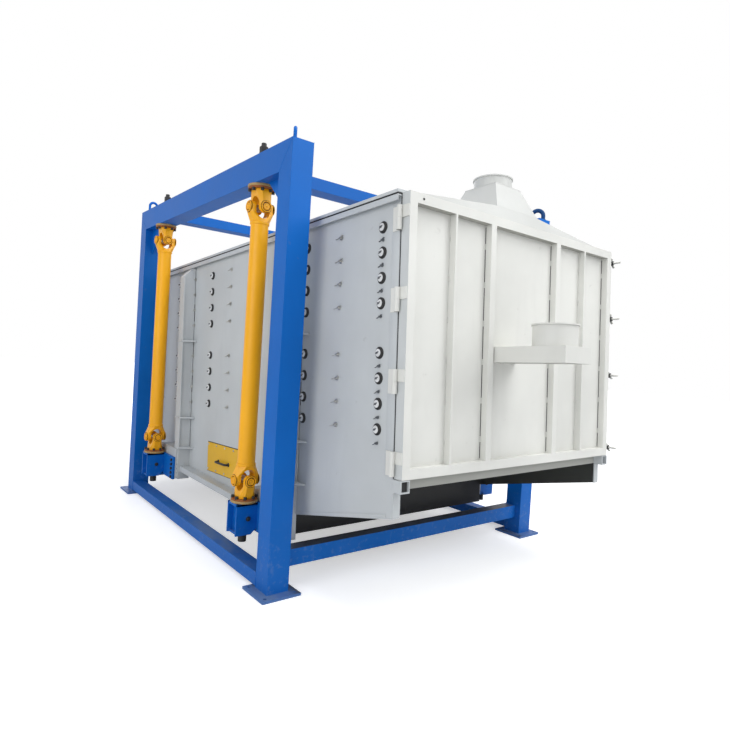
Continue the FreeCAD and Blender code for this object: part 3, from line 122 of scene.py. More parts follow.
class ScreenerSizes(bpy.types.PropertyGroup):
    port_columns: IntProperty(
        name="Port columns", description="Columns of rubber plugs on a side wall", default=6)
    port_rows: IntProperty(
        name="Port rows", description="Rows of plugs in one stack of decks", default=4)
    field_pitch: FloatProperty(
        name="Field pitch", description="Column to column", default=0.717, unit="LENGTH")
    deck_pitch: FloatProperty(
        name="Deck pitch", description="Deck to deck", default=0.131, unit="LENGTH")
    port_radius: FloatProperty(
        name="Port radius", description="Rubber plug", default=0.0315, unit="LENGTH")
    wing_reach: FloatProperty(
        name="Wing reach", description="Wall clamp from its screw to a wing tip", default=0.036,
        unit="LENGTH")
    bead_radius: FloatProperty(
        name="Weld bead", description="Half width of a weld bead", default=0.003, unit="LENGTH")
    bead_pitch: FloatProperty(
        name="Weld ripple", description="Ripple to ripple along a bead", default=0.006, unit="LENGTH")
    motor_fins: IntProperty(
        name="Motor fins", description="Cooling fins round the motor", default=22)


class ScreenerColours(bpy.types.PropertyGroup):
    frame_blue: FloatVectorProperty(
        name="Frame", description="Frame enamel", subtype="COLOR", size=4, default=tint(4, 101, 190))
    hanger_yellow: FloatVectorProperty(
        name="Hangers", description="Shaft enamel", subtype="COLOR", size=4, default=tint(252, 178, 8))
    wall_grey: FloatVectorProperty(
        name="Walls", description="Box enamel", subtype="COLOR", size=4, default=tint(194, 198, 200))
    door_white: FloatVectorProperty(
        name="Door", description="Door enamel", subtype="COLOR", size=4, default=tint(220, 220, 215))
    hatch_yellow: FloatVectorProperty(
        name="Hatch", description="Hatch enamel", subtype="COLOR", size=4, default=tint(228, 178, 24))


def sizes():
    return bpy.context.scene.screener_sizes


def colours():
    return bpy.context.scene.screener_colours


class Wire:
    """A value inside a node tree that takes part in sums."""

    def __init__(self, net, socket):
        self.net = net
        self.socket = socket

    def join(self, operation, left, right):
        return self.net.node("ShaderNodeMath", {"operation": operation}, {0: left, 1: right})

    def __add__(self, other):
        return self.join("ADD", self, other)

    def __sub__(self, other):
        return self.join("SUBTRACT", self, other)

    def __rsub__(self, other):
        return self.join("SUBTRACT", other, self)

    def __mul__(self, other):
        return self.join("MULTIPLY", self, other)

    __radd__ = __add__
    __rmul__ = __mul__


class Network:
    """A node tree that is built call by call."""

    def __init__(self, tree):
        self.tree = tree
        tree.nodes.clear()

    def node(self, kind, settings=None, sockets=None, output=0):
        """Adds a node, sets it, feeds its sockets with values or wires, and gives one of its outputs."""
        made = self.tree.nodes.new(kind)
        for key, value in (settings or {}).items():
            setattr(made, key, value)
        for key, value in (sockets or {}).items():
            if isinstance(value, Wire):
                self.tree.links.new(value.socket, made.inputs[key])
            else:
                made.inputs[key].default_value = value
        return Wire(self, made.outputs[output] if len(made.outputs) else None)


class Finish(Network):
    """A surface finish on Object coordinates."""

    def __init__(self, name):
        self.material = bpy.data.materials.new(name)
        self.material.use_nodes = True
        super().__init__(self.material.node_tree)
        self.place = self.node("ShaderNodeTexCoord", output="Object")

    def noise(self, scale, detail=3.0, stretch=None):
        where = self.place
        if stretch:
            where = self.node("ShaderNodeMapping", None, {"Vector": self.place, "Scale": stretch})
        return self.node("ShaderNodeTexNoise", None, {"Vector": where, "Scale": scale, "Detail": detail})

    def step(self, value, low, high):
        """Goes from 0 to 1 as the value goes from low to high."""
        return self.node("ShaderNodeMapRange", {"interpolation_type": "SMOOTHSTEP"},
                         {"Value": value, "From Min": low, "From Max": high})

    def mix(self, factor, first, second):
        return self.node("ShaderNodeMix", {"data_type": "RGBA"}, {0: factor, 6: first, 7: second}, output=2)

    def along(self, axis):
        """The place of a point on one axis."""
        return self.node("ShaderNodeSeparateXYZ", None, {0: self.place}, output=axis)

    def sideways(self):
        """The distance of a point from the middle plane."""
        return self.node("ShaderNodeMath", {"operation": "ABSOLUTE"}, {0: self.along("X")})

    def normal(self):
        return self.node("ShaderNodeNewGeometry", output="Normal")

    def facing(self, axis):
        """How far the surface faces one axis: 1 along it, -1 against it."""
        return self.node("ShaderNodeSeparateXYZ", None, {0: self.normal()}, output=axis)

    def rounded(self, radius):
        """The normal with its edges rounded, and how strongly an edge is near."""
        soft = self.node("ShaderNodeBevel", {"samples": 4}, {"Radius": radius})
        alike = self.node("ShaderNodeVectorMath", {"operation": "DOT_PRODUCT"}, {0: soft, 1: self.normal()},
                          output="Value")
        return soft, self.step(alike, 0.995, 0.90)

    def bump(self, value, strength, distance, normal=None):
        sockets = {"Height": value, "Strength": strength, "Distance": distance}
        if normal is not None:
            sockets["Normal"] = normal
        return self.node("ShaderNodeBump", None, sockets)

    def surface(self, **values):
        """Closes the tree with a shader; an underscore in a socket's name stands for a blank."""
        sockets = {key.replace("_", " "): value for key, value in values.items()}
        shader = self.node("ShaderNodeBsdfPrincipled", None, sockets)
        self.node("ShaderNodeOutputMaterial", None, {0: shader})
        return self.material


class Pattern(Network):
    """A Geometry Nodes tree with named inputs."""

    def __init__(self, name, inputs):
        super().__init__(bpy.data.node_groups.new(name, "GeometryNodeTree"))
        for label, kind in (("Geometry", "Geometry"), *inputs, ("Material", "Material")):
            self.tree.interface.new_socket(label, in_out="INPUT", socket_type="NodeSocket" + kind)
        self.tree.interface.new_socket("Geometry", in_out="OUTPUT", socket_type="NodeSocketGeometry")

    def given(self, label):
        return self.node("NodeGroupInput", output=label)

    def spread(self, points, shape, **placing):
        """Real copies of a shape at points."""
        sockets = {"Points": points, "Instance": shape, **placing}
        copies = self.node("GeometryNodeInstanceOnPoints", None, sockets)
        return self.node("GeometryNodeRealizeInstances", None, {0: copies})

    def close(self, shape):
        sockets = {"Geometry": shape, "Material": self.given("Material")}
        done = self.node("GeometryNodeSetMaterial", None, sockets)
        self.node("NodeGroupOutput", None, {0: done})
        return self.tree


def copies_tree():
    """Copies of a shape at marked points, each mark repeated in columns and rows."""
    net = Pattern("marked_copies", (("Shape", "Object"), ("Columns", "Int"), ("Column Step", "Vector"),
                                    ("Rows", "Int"), ("Row Step", "Vector")))
    line = net.node("GeometryNodeMeshLine", None,
                    {"Count": net.given("Columns"), "Offset": net.given("Column Step")})
    rank = net.node("GeometryNodeMeshLine", None,
                    {"Count": net.given("Rows"), "Offset": net.given("Row Step")})
    spots = net.spread(net.given("Geometry"), net.spread(line, rank))
    angles = net.node("GeometryNodeInputNamedAttribute", {"data_type": "FLOAT_VECTOR"}, {"Name": "turn"})
    turn = net.node("FunctionNodeEulerToRotation", None, {"Euler": angles})
    shape = net.node("GeometryNodeObjectInfo", None, {"Object": net.given("Shape")}, output="Geometry")
    return net.close(net.spread(spots, shape, Rotation=turn))


def beads_tree():
    """Weld ripples along the edges of a mesh."""
    net = Pattern("weld_runs", (("Pitch", "Float"), ("Radius", "Float")))
    pitch, radius = net.given("Pitch"), net.given("Radius")
    line = net.node("GeometryNodeMeshToCurve", None, {"Mesh": net.given("Geometry")})
    spaced = net.node("GeometryNodeResampleCurve", {"mode": "LENGTH"}, {"Curve": line, "Length": pitch})
    drop = net.node("GeometryNodeMeshUVSphere", None, {"Segments": 6, "Rings": 4, "Radius": 1.0})
    along = net.node("GeometryNodeInputTangent")
    heading = net.node("FunctionNodeAlignRotationToVector", {"axis": "X"}, {"Vector": along})
    size = net.node("ShaderNodeCombineXYZ", None, {"X": pitch * 0.8, "Y": radius, "Z": radius})
    return net.close(net.spread(spaced, drop, Rotation=heading, Scale=size))


def shade(colour, factor):
    """The colour made darker or lighter."""
    return tuple(min(1.0, channel * factor) for channel in colour[:3]) + (1.0,)


def floor_scuffs_and_box_shade(paint, base):
    """Pale streaks and scuffs on the low rails and feet, and near-black painted shade on their upper faces
    where the box hangs over them.
    """
    up = paint.step(paint.facing("Z"), 0.6, 0.95)
    low = 1.0 - paint.step(paint.along("Z"), 0.20, 0.45)
    # Painted shade: the upper faces of the rails under the box go near-black.
    box_shade_mask = (1.0 - paint.step(paint.sideways(), 1.02, 1.10)) * up * low
    streaks = paint.step(paint.noise(5.0, 6.0, (1.0, 0.35, 1.0)), 0.42, 0.66)
    base = paint.mix(streaks * up * low * 0.55, base, tint(122, 140, 166))
    scuffs = paint.step(paint.noise(34.0, 6.0), 0.54, 0.70) * low
    base = paint.mix(scuffs * 0.16, base, tint(128, 146, 172))
    feet = 1.0 - paint.step(paint.along("Z"), 0.017, 0.021)
    base = paint.mix(feet * 0.55, base, tint(104, 126, 160))
    return paint.mix(box_shade_mask * 0.96, base, tint(78, 78, 75))


def shaded_inside(paint, base):
    """Painted shade: the skirts are near-black on their inner faces below the box floor. The sill's front is
    made darker and greyer.
    """
    inward = 1.0 - paint.step(paint.facing("X") * paint.along("X"), -0.5, -0.05)
    inner = inward * paint.step(paint.sideways(), 0.940, 0.944)
    behind_stubs = paint.step(paint.along("Y"), -2.060, -2.045)
    level = paint.along("Z") + paint.along("Y") * math.tan(TILT)
    below = 1.0 - paint.step(level, 0.700, 0.716)
    # Painted shade on the skirts' inner faces below the floor.
    base = paint.mix(inner * behind_stubs * below, base, tint(60, 61, 57))
    ahead = 1.0 - paint.step(paint.facing("Y"), -0.9, -0.7)
    between = 1.0 - paint.step(paint.sideways(), 0.896, 0.904)
    at_door = 1.0 - paint.step(paint.along("Y"), -2.0, -1.9)
    return paint.mix(ahead * between * at_door * 0.8, base, tint(158, 158, 150))


def grey_edge_and_underside_shade(paint, base):
    """The door's side face at its hinge edge is made the grey of the walls, and faces that look down get
    painted shade.
    """
    edge = 1.0 - paint.step(paint.facing("X"), -0.9, -0.6)
    edge = edge * (1.0 - paint.step(paint.along("X"), -0.950, -0.946))
    edge = edge * paint.step(paint.along("X"), -0.9640, -0.9615)
    base = paint.mix(edge * 0.85, base, tint(196, 200, 201))
    # Painted shade on the faces that look down.
    down = 1.0 - paint.step(paint.facing("Z"), -0.95, -0.7)
    return paint.mix(down * 0.75, base, tint(126, 125, 117))


def enamel(name, colour, rough, coat, dust=0.0, peel=0.12, wear=0.0, marks=None, shine=0.35):
    """Sprayed enamel: cloudy coverage, orange peel, rounded worn edges, a little dust, and small marks that
    include painted shade.
    """
    paint = Finish(name)
    cloud = paint.noise(1.7, 4.0)
    fine = paint.noise(38.0, 2.0)
    runs = paint.noise(9.0, 3.0, (1.0, 1.0, 0.18))
    soft, edge = paint.rounded(0.003)
    base = paint.mix(paint.step(cloud, 0.3, 0.7), shade(colour, 0.94), shade(colour, 1.05))
    base = paint.mix(paint.step(runs, 0.55, 0.75) * 0.22, base, shade(colour, 0.88))
    grime = paint.step(paint.noise(16.0, 5.0), 0.66, 0.76) * paint.step(fine, 0.45, 0.65)
    base = paint.mix(grime * (0.14 + dust), base, (0.20, 0.19, 0.17, 1.0))
    base = paint.mix(edge * (0.25 + wear) * paint.step(fine, 0.35, 0.6), base, shade(colour, 1.35))
    if dust:
        low = 1.0 - paint.step(paint.along("Z"), 0.0, 0.5)
        base = paint.mix(low * paint.step(cloud, 0.35, 0.65) * dust, base, (0.30, 0.29, 0.27, 1.0))
    # The marks functions add scuffs and painted shade.
    if marks:
        base = marks(paint, base)
    peeled = paint.noise(210.0, 2.0)
    return paint.surface(Base_Color=base, Roughness=rough + (cloud * 0.14 + fine * 0.07) + grime * 0.2,
                         Normal=paint.bump(peeled, peel, 0.0005, soft), Coat_Weight=coat, Coat_Roughness=0.2,
                         Specular_IOR_Level=shine)


def bare_metal(name, colour):
    """Brushed metal with a few stains."""
    metal = Finish(name)
    brushed = metal.noise(90.0, 4.0, (1.0, 1.0, 14.0))
    stain = metal.noise(12.0, 4.0)
    base = metal.mix(metal.step(stain, 0.35, 0.7), shade(colour, 1.08), shade(colour, 0.78))
    return metal.surface(Base_Color=base, Metallic=1.0, Roughness=0.32 + brushed * 0.22,
                         Normal=metal.bump(brushed, 0.12, 0.0004))


def moulded(name, colour, rough=0.55, bloomed=1.5):
    """Fine-grained rubber or plastic with a cloudy bloom."""
    part = Finish(name)
    grain = part.noise(320.0, 3.0)
    bloom = part.noise(22.0, 3.0)
    base = part.mix(part.step(bloom, 0.4, 0.7), colour, shade(colour, bloomed))
    return part.surface(Base_Color=base, Roughness=rough + bloom * 0.2, Normal=part.bump(grain, 0.2, 0.0004))


def varnished_wood(name):
    wood = Finish(name)
    rings = wood.noise(6.0, 6.0, (1.0, 14.0, 14.0))
    base = wood.mix(wood.step(rings, 0.3, 0.7), tint(205, 170, 120), tint(150, 112, 68))
    return wood.surface(Base_Color=base, Roughness=0.42 + rings * 0.15, Normal=wood.bump(rings, 0.15, 0.0006))


def woven_cloth(name):
    cloth = Finish(name)
    weft = cloth.node("ShaderNodeTexWave", {"bands_direction": "X"}, {"Vector": cloth.place, "Scale": 60.0})
    warp = cloth.node("ShaderNodeTexWave", {"bands_direction": "Y"}, {"Vector": cloth.place, "Scale": 60.0})
    weave = weft * warp
    base = cloth.mix(weave, tint(120, 120, 116), tint(222, 221, 214))
    return cloth.surface(Base_Color=base, Roughness=0.6 + weave * 0.2, Normal=cloth.bump(weave, 0.4, 0.0008))


MATERIALS = {}
TREES = {}


def make_materials():
    tone = colours()
    MATERIALS.update({
        "frame_blue": enamel("frame_blue_enamel", tone.frame_blue, rough=0.34, coat=0.03, dust=0.08,
                             marks=floor_scuffs_and_box_shade, shine=0.16),
        # A darker copy of the frame blue with a little dust: painted shade for the heavy lifting bow.
        "shade_dark_blue": enamel("aged_blue_enamel", tint(24, 66, 114), rough=0.42, coat=0.0, dust=0.1,
                            shine=0.16),
        "shaft_yellow": enamel("hanger_yellow_enamel", tone.hanger_yellow, rough=0.3, coat=0.15, wear=0.2),
        "box_grey": enamel("wall_grey_enamel", tone.wall_grey, rough=0.45, coat=0.08, marks=shaded_inside),
        "door_white": enamel("door_white_enamel", tone.door_white, rough=0.42, coat=0.15, marks=grey_edge_and_underside_shade),
        "roof_white": enamel("roof_white_enamel", tint(204, 205, 202), rough=0.42, coat=0.1),
        "flange_brown": enamel("companion_flange_enamel", tint(150, 86, 38), rough=0.45, coat=0.0, dust=0.1,
                               peel=0.3, wear=0.3),
        # Painted shadow for the grooves round the bearing caps.
        "joint_shadow": enamel("joint_groove_enamel", tint(128, 76, 14), rough=0.5, coat=0.0),
        "hatch_yellow": enamel("hatch_yellow_enamel", tone.hatch_yellow, rough=0.38, coat=0.1),
        "flange_khaki": enamel("primed_flange", tint(176, 146, 96), rough=0.45, coat=0.0, dust=0.1, peel=0.3,
                               wear=0.3),
        "dark_steel": enamel("dark_coated_steel", tint(40, 40, 40), rough=0.42, coat=0.1, dust=0.05,
                             peel=0.2),
        "motor_grey": enamel("motor_grey_enamel", tint(96, 100, 104), rough=0.4, coat=0.1, dust=0.05,
                             peel=0.3),
        "bright_steel": bare_metal("zinc_plated_steel", tint(196, 196, 192)),
        "port_rubber": moulded("black_rubber", tint(26, 26, 27)),
        "tray_wood": varnished_wood("varnished_tray_wood"),
        "sieve_cloth": woven_cloth("woven_sieve_cloth"),
        "handle_black": moulded("black_handle_plastic", tint(22, 22, 23), rough=0.35),
        "cap_white": moulded("white_cap_plastic", tint(222, 223, 224), rough=0.3, bloomed=0.86),
        # Dark strips for seals, and for painted shadow in gaps, seams and an open tube.
        "seal_dark": moulded("dark_sealing_strip", tint(34, 34, 35), rough=0.6),
        "bead_grey": enamel("weld_bead_enamel", shade(tone.wall_grey, 0.97), rough=0.42, coat=0.15, peel=0.4),
    })


def block_mesh(name, shape):
    """A mesh from a finished bmesh."""
    mesh = bpy.data.meshes.new(name)
    shape.normal_update()
    shape.to_mesh(mesh)
    shape.free()
    return mesh


def turned(profile, count=24, ring=False):
    """A solid turned about X from its outline of radius and height; a ring's outline closes on itself."""
    shape = bmesh.new()
    rings = []
    for radius, height in profile:
        points = 1 if radius == 0.0 else count
        rings.append([shape.verts.new((height, radius * math.cos(math.tau * i / count),
                                       radius * math.sin(math.tau * i / count))) for i in range(points)])
    if ring:
        rings.append(rings[0])
    for low, high in zip(rings, rings[1:]):
        for i in range(count):
            corners = []
            for circle, k in ((low, i), (low, i + 1), (high, i + 1), (high, i)):
                vert = circle[k % len(circle)]
                if vert not in corners:
                    corners.append(vert)
            if len(corners) > 2:
                shape.faces.new(corners)
    bmesh.ops.recalc_face_normals(shape, faces=shape.faces)
    return shape


def disc(radius, low, high, count=16, crown=0.0):
    """A disc about X between two heights, its outer face raised in the middle by the crown."""
    return turned(((0.0, low), (radius, low), (radius, high), (0.0, high + crown)), count)


def slab(low, high, edge=0.0):
    """A block between two corners with its edges rounded."""
    shape = bmesh.new()
    bmesh.ops.create_cube(shape, size=1.0)
    for vert in shape.verts:
        vert.co = Vector([a + (c + 0.5) * (b - a) for a, b, c in zip(low, high, vert.co)])
    if edge:
        bmesh.ops.bevel(shape, geom=shape.edges[:], offset=edge, segments=2, profile=0.5, affect="EDGES")
    bmesh.ops.recalc_face_normals(shape, faces=shape.faces)
    return shape


def mirrored(side, x, y, z, edge=0.0015):
    """A block between pairs of places, the pair in x counted outwards on its own side."""
    x = sorted((side * x[0], side * x[1]))
    y = sorted(y)
    return slab((x[0], y[0], z[0]), (x[1], y[1], z[1]), edge)


def prism(outline, low, high, order):
    """A plate of a given outline: FLAT has it in x and y, UPRIGHT in x and z, with the thickness across."""
    shape = bmesh.new()
    near, far = ([shape.verts.new([(first, second, level)[k] for k in order]) for first, second in outline]
                 for level in (low, high))
    shape.faces.new(near)
    shape.faces.new(far)
    for i in range(len(outline)):
        k = (i + 1) % len(outline)
        shape.faces.new((near[i], near[k], far[k], far[i]))
    bmesh.ops.recalc_face_normals(shape, faces=shape.faces)
    return shape


def tube(points, radius, count=12):
    """A round bar along a line of points, closed at both ends."""
    shape = bmesh.new()
    line = [Vector(point) for point in points]
    side = None
    rings = []
    for i, point in enumerate(line):
        ahead = (line[min(i + 1, len(line) - 1)] - line[max(i - 1, 0)]).normalized()
        if side is None:
            side = ahead.orthogonal().normalized()
        side = (side - ahead * side.dot(ahead)).normalized()
        over = ahead.cross(side)
        angles = [math.tau * k / count for k in range(count)]
        rings.append([shape.verts.new(point + side * radius * math.cos(angle)
                                      + over * radius * math.sin(angle)) for angle in angles])
    for low, high in zip(rings, rings[1:]):
        for k in range(count):
            shape.faces.new((low[k], low[(k + 1) % count], high[(k + 1) % count], high[k]))
    shape.faces.new(rings[0][::-1])
    shape.faces.new(rings[-1])
    bmesh.ops.recalc_face_normals(shape, faces=shape.faces)
    return shape


def moved(shape, place=NONE, turn=NONE):
    """The shape turned and then moved."""
    lay = Matrix.Translation(place) @ Euler(turn).to_matrix().to_4x4()
    bmesh.ops.transform(shape, matrix=lay, verts=shape.verts)
    return shape


def gathered(*shapes):
    """One shape made of several."""
    whole = bmesh.new()
    for shape in shapes:
        mesh = block_mesh("gathered", shape)
        whole.from_mesh(mesh)
        bpy.data.meshes.remove(mesh)
    return whole


def finished(name, mesh, material, body, lay=None):
    """A piece at the origin with its place in its mesh, riding on a body."""
    if lay is not None:
        mesh.transform(lay)
    mesh.materials.clear()
    mesh.materials.append(MATERIALS[material])
    mesh.shade_smooth()
    mesh.set_sharp_from_angle(angle=math.radians(32))
    piece = bpy.data.objects.new(name, mesh)
    bpy.context.scene.collection.objects.link(piece)
    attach(piece, body)
    return piece


def piece_of(name, shape, material, body, lay=None):
    return finished(name, block_mesh(name, shape), material, body, lay)


def sealing_and_shade(name, shapes, body="screen_box"):
    """Dark strips in the box's coordinates: real seals and gaskets, and painted shadow in gaps, seams and an
    open tube.
    """
    return piece_of(name, gathered(*shapes), "seal_dark", body, BOX_FRAME)


def plating(name, shapes, material="box_grey"):
    """Sheets and bars of the box in its coordinates."""
    return piece_of(name, gathered(*shapes), material, "screen_box", BOX_FRAME)


def grown(name, tree, seed, values, material, body, lay=None):
    """Runs a tree on a seed mesh and keeps the plain mesh that it makes."""
    host = bpy.data.objects.new(name + "_seed", seed)
    bpy.context.scene.collection.objects.link(host)
    step = host.modifiers.new("grow", "NODES")
    step.node_group = tree
    values = dict(values, Material=MATERIALS[material])
    for item in tree.interface.items_tree:
        if item.item_type == "SOCKET" and item.in_out == "INPUT" and item.name in values:
            step[item.identifier] = values[item.name]
    view = bpy.context.evaluated_depsgraph_get()
    mesh = bpy.data.meshes.new_from_object(host.evaluated_get(view), depsgraph=view)
    host.modifiers.clear()
    bpy.data.objects.remove(host)
    if not mesh.polygons:
        raise RuntimeError(name + " came out empty")
    return finished(name, mesh, material, body, lay)


def copied(name, shape, rows, material, body, slot, lay=None, columns=(1, NONE), ranks=(1, NONE)):
    """Copies of one small shape at marked places, given as place and turn."""
    if "copies" not in TREES:
        TREES["copies"] = copies_tree()
    pattern = bpy.data.objects.new(name + "_pattern", block_mesh(name + "_pattern", shape))
    bpy.context.scene.collection.objects.link(pattern)
    seed = bpy.data.meshes.new(name + "_marks")
    seed.from_pydata([place for place, turn in rows], [], [])
    turns = seed.attributes.new("turn", "FLOAT_VECTOR", "POINT")
    for mark, (place, turn) in zip(turns.data, rows):
        mark.vector = turn
    values = {"Shape": pattern, "Columns": columns[0], "Column Step": columns[1], "Rows": ranks[0],
              "Row Step": ranks[1]}
    piece = grown(name, TREES["copies"], seed, values, material, body, lay)
    bpy.data.objects.remove(pattern)
    return piece


def welded(name, runs, material, body, lay=None, radius=None):
    """Weld beads along runs, each a pair of points."""
    if "beads" not in TREES:
        TREES["beads"] = beads_tree()
    points = [point for run in runs for point in run]
    seed = bpy.data.meshes.new(name + "_runs")
    seed.from_pydata(points, [(2 * i, 2 * i + 1) for i in range(len(runs))], [])
    values = {"Pitch": sizes().bead_pitch, "Radius": radius or sizes().bead_radius}
    return grown(name, TREES["beads"], seed, values, material, body, lay)


def stitches(start, end, run, gap):
    """Short runs with gaps between them along a line."""
    start, end = Vector(start), Vector(end)
    length = (end - start).length
    ahead = (end - start) / length
    made = []
    at = gap / 2
    while at + run < length:
        made.append((start + ahead * at, start + ahead * (at + run)))
        at += run + gap
    return made


def outward(side, spin=0.0):
    """The turn that points a shape out of a side wall."""
    return (spin, 0.0, 0.0 if side > 0 else math.pi)


class SCREENER_OT_paint(bpy.types.Operator):
    """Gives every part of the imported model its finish"""
    bl_idname = "screener.paint"
    bl_label = "Paint the parts"

    def execute(self, context):
        make_materials()
        for row in frame["record"]["subparts"]:
            node = NODES[row["node"]]
            finish = MATERIALS[PALE_NODES.get(row["node"], row["material_slot"])]
            if not node.material_slots:
                node.data.materials.append(finish)
            for slot in node.material_slots:
                slot.material = finish
        return {"FINISHED"}


class SCREENER_OT_ports(bpy.types.Operator):
    """Puts a rubber ring, a domed cap and a thumb bar on every port of the side walls"""
    bl_idname = "screener.ports"
    bl_label = "Port plugs"

    def execute(self, context):
        size = sizes()
        out = size.port_radius
        rows = [((side * WALL, FIRST_PORT, level), outward(side)) for side in SIDES for level in STACKS]
        grid = {"lay": BOX_FRAME, "columns": (size.port_columns, (0.0, size.field_pitch, 0.0)),
                "ranks": (size.port_rows, (0.0, 0.0, -size.deck_pitch))}
        ring = turned(((0.0195, 0.0), (out, 0.0), (out, 0.0040), (out - 0.0030, 0.0070), (0.0245, 0.0085),
                       (0.0225, 0.0125), (0.0195, 0.0125)), 20, ring=True)
        cap = turned(((0.0, 0.001), (0.0205, 0.001), (0.0205, 0.0130), (0.0180, 0.0158), (0.010, 0.0175),
                      (0.0, 0.0180)), 20)
        bar = gathered(slab((0.0170, -0.0125, -0.0026), (0.0215, 0.0125, 0.0026), 0.0012),
                       turned(((0.0, 0.0165), (0.0055, 0.0165), (0.0050, 0.0250), (0.0, 0.0265)), 10))
        rings = copied("port_rings", ring, rows, "port_rubber", "screen_box", "port_rubber", **grid)
        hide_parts("port_plugs")
        copied("port_caps", cap, rows, "cap_white", "screen_box", "door_white", **grid)
        tilted = [(place, (0.5, turn[1], turn[2])) for place, turn in rows]
        copied("port_thumb_bars", bar, tilted, "motor_grey", "screen_box", "motor_grey", **grid)
        return {"FINISHED"}


def pair_of_wings(low, high, edge, root, bend):
    """Two wings on opposite sides of a nut, each a block moved out to its root and bent."""
    wings = []
    for half_turn in (0.0, math.pi):
        wing = moved(slab(low, high, edge), (root, 0.0, 0.0), (0.0, 0.0, bend))
        wings.append(moved(wing, NONE, (half_turn, 0.0, 0.0)))
    return wings


def wing_nut(reach, rise):
    """A plate wing nut that points along X."""
    hub = turned(((0.0, -0.001), (0.0085, -0.001), (0.0075, 0.008), (0.005, 0.011), (0.005, rise),
                  (0.0, rise)), 10)
    return gathered(hub, *pair_of_wings((0.0, 0.004, -0.0014), (0.010, reach, 0.0014), 0.001, 0.004, -0.22))


class SCREENER_OT_clamps(bpy.types.Operator):
    """Puts the winged clamp screws of the decks on the side walls"""
    bl_idname = "screener.clamps"
    bl_label = "Deck clamps"

    def execute(self, context):
        size = sizes()
        ranks = (size.port_rows, (0.0, 0.0, -size.deck_pitch - 0.001))
        bright = [((side * WALL, FIRST_CLAMP, level), outward(side, 0.25))
                  for side in SIDES for level in CLAMP_LEVELS]
        dark = [((side * WALL, EDGE_CLAMP, level), outward(side, 0.45))
                for side in SIDES for level in EDGE_CLAMP_LEVELS]
        shape = gathered(wing_nut(size.wing_reach, 0.018), disc(0.015, -0.001, 0.0022, 12, 0.0004))
        copied("deck_wing_nuts", shape, bright, "bright_steel", "screen_box", "bright_steel", BOX_FRAME,
               (size.port_columns - 1, (0.0, size.field_pitch, 0.0)), ranks)
        copied("edge_wing_screws", wing_nut(0.023, 0.016), dark, "motor_grey", "screen_box", "motor_grey",
               BOX_FRAME, (2, (0.0, 5.0 * size.field_pitch, 0.0)), ranks)
        return {"FINISHED"}


class SCREENER_OT_joints(bpy.types.Operator):
    """Puts bearing caps in grooved rings on the joints, with a dark disc under each ring as painted shadow in
    its groove, and collars on the shafts
    """
    bl_idname = "screener.joints"
    bl_label = "Hanger joints"

    def execute(self, context):
        ring = turned(((0.0270, -0.001), (0.0350, -0.001), (0.0350, 0.0050), (0.0330, 0.0074),
                       (0.0300, 0.0074), (0.0285, 0.0050), (0.0280, 0.0008), (0.0270, 0.0008)), 32, ring=True)
        # A dark disc under each ring: painted shadow in the groove round the cap.
        groove_shadow = disc(0.0385, -0.001, 0.0010, 32, 0.0002)
        cap = turned(((0.0, 0.001), (0.0212, 0.001), (0.0212, 0.0060), (0.0195, 0.0074), (0.0165, 0.0074),
                      (0.0150, 0.0050), (0.0066, 0.0050), (0.0060, 0.0080), (0.0040, 0.0095),
                      (0.0, 0.0095)), 28)
        shape = gathered(ring, cap)
        collar = turned(((0.052, -0.002), (0.0585, 0.0), (0.0612, 0.004), (0.0612, 0.014), (0.0585, 0.018),
                         (0.052, 0.020)), 40, ring=True)
        fixed = []
        hung = []
        for corner, sx, sy in CORNERS:
            x, y = sx * SHAFT_X, sy * SHAFT_Y
            for side in SIDES:
                turn = (0.0, 0.0, side * math.pi / 2)
                fixed.append(((x, y + side * EAR, UPPER_PIN), turn))
                hung.append(((x, y + side * EAR, LOWER_PIN), turn))
            body = "hanger_shaft_" + corner
            rows = [((x + side * EAR, y, level), outward(side)) for side in SIDES
                    for level in (UPPER_PIN, LOWER_PIN)]
            copied("joint_caps_" + corner, shape.copy(), rows, "shaft_yellow", body, "shaft_yellow")
            copied("joint_grooves_" + corner, groove_shadow.copy(), rows, "joint_shadow", body, "shaft_yellow")
            ends = [((x, y, UPPER_PIN - PIN_TO_COLLAR), UP), ((x, y, LOWER_PIN + PIN_TO_COLLAR), DOWN)]
            copied("shaft_collars_" + corner, collar.copy(), ends, "shaft_yellow", body, "shaft_yellow")
        copied("upper_yoke_caps", shape.copy(), fixed, "shaft_yellow", "frame", "shaft_yellow")
        copied("lower_yoke_caps", shape, hung, "shaft_yellow", "screen_box", "shaft_yellow")
        copied("upper_yoke_grooves", groove_shadow.copy(), fixed, "joint_shadow", "frame", "shaft_yellow")
        copied("lower_yoke_grooves", groove_shadow, hung, "joint_shadow", "screen_box", "shaft_yellow")
        collar.free()
        return {"FINISHED"}


def hex_bolt(radius, height, washer):
    """A hexagon head on its washer, pointing along X."""
    head = ((0.0, 0.001), (radius, 0.001), (radius, height - 0.0015), (radius * 0.88, height), (0.0, height))
    return gathered(disc(washer, -0.001, 0.0022), turned(head, 6))


def at_corners(level, turn):
    """A place and turn on the axis of each hanger."""
    return [((sx * SHAFT_X, sy * SHAFT_Y, level), turn) for corner, sx, sy in CORNERS]


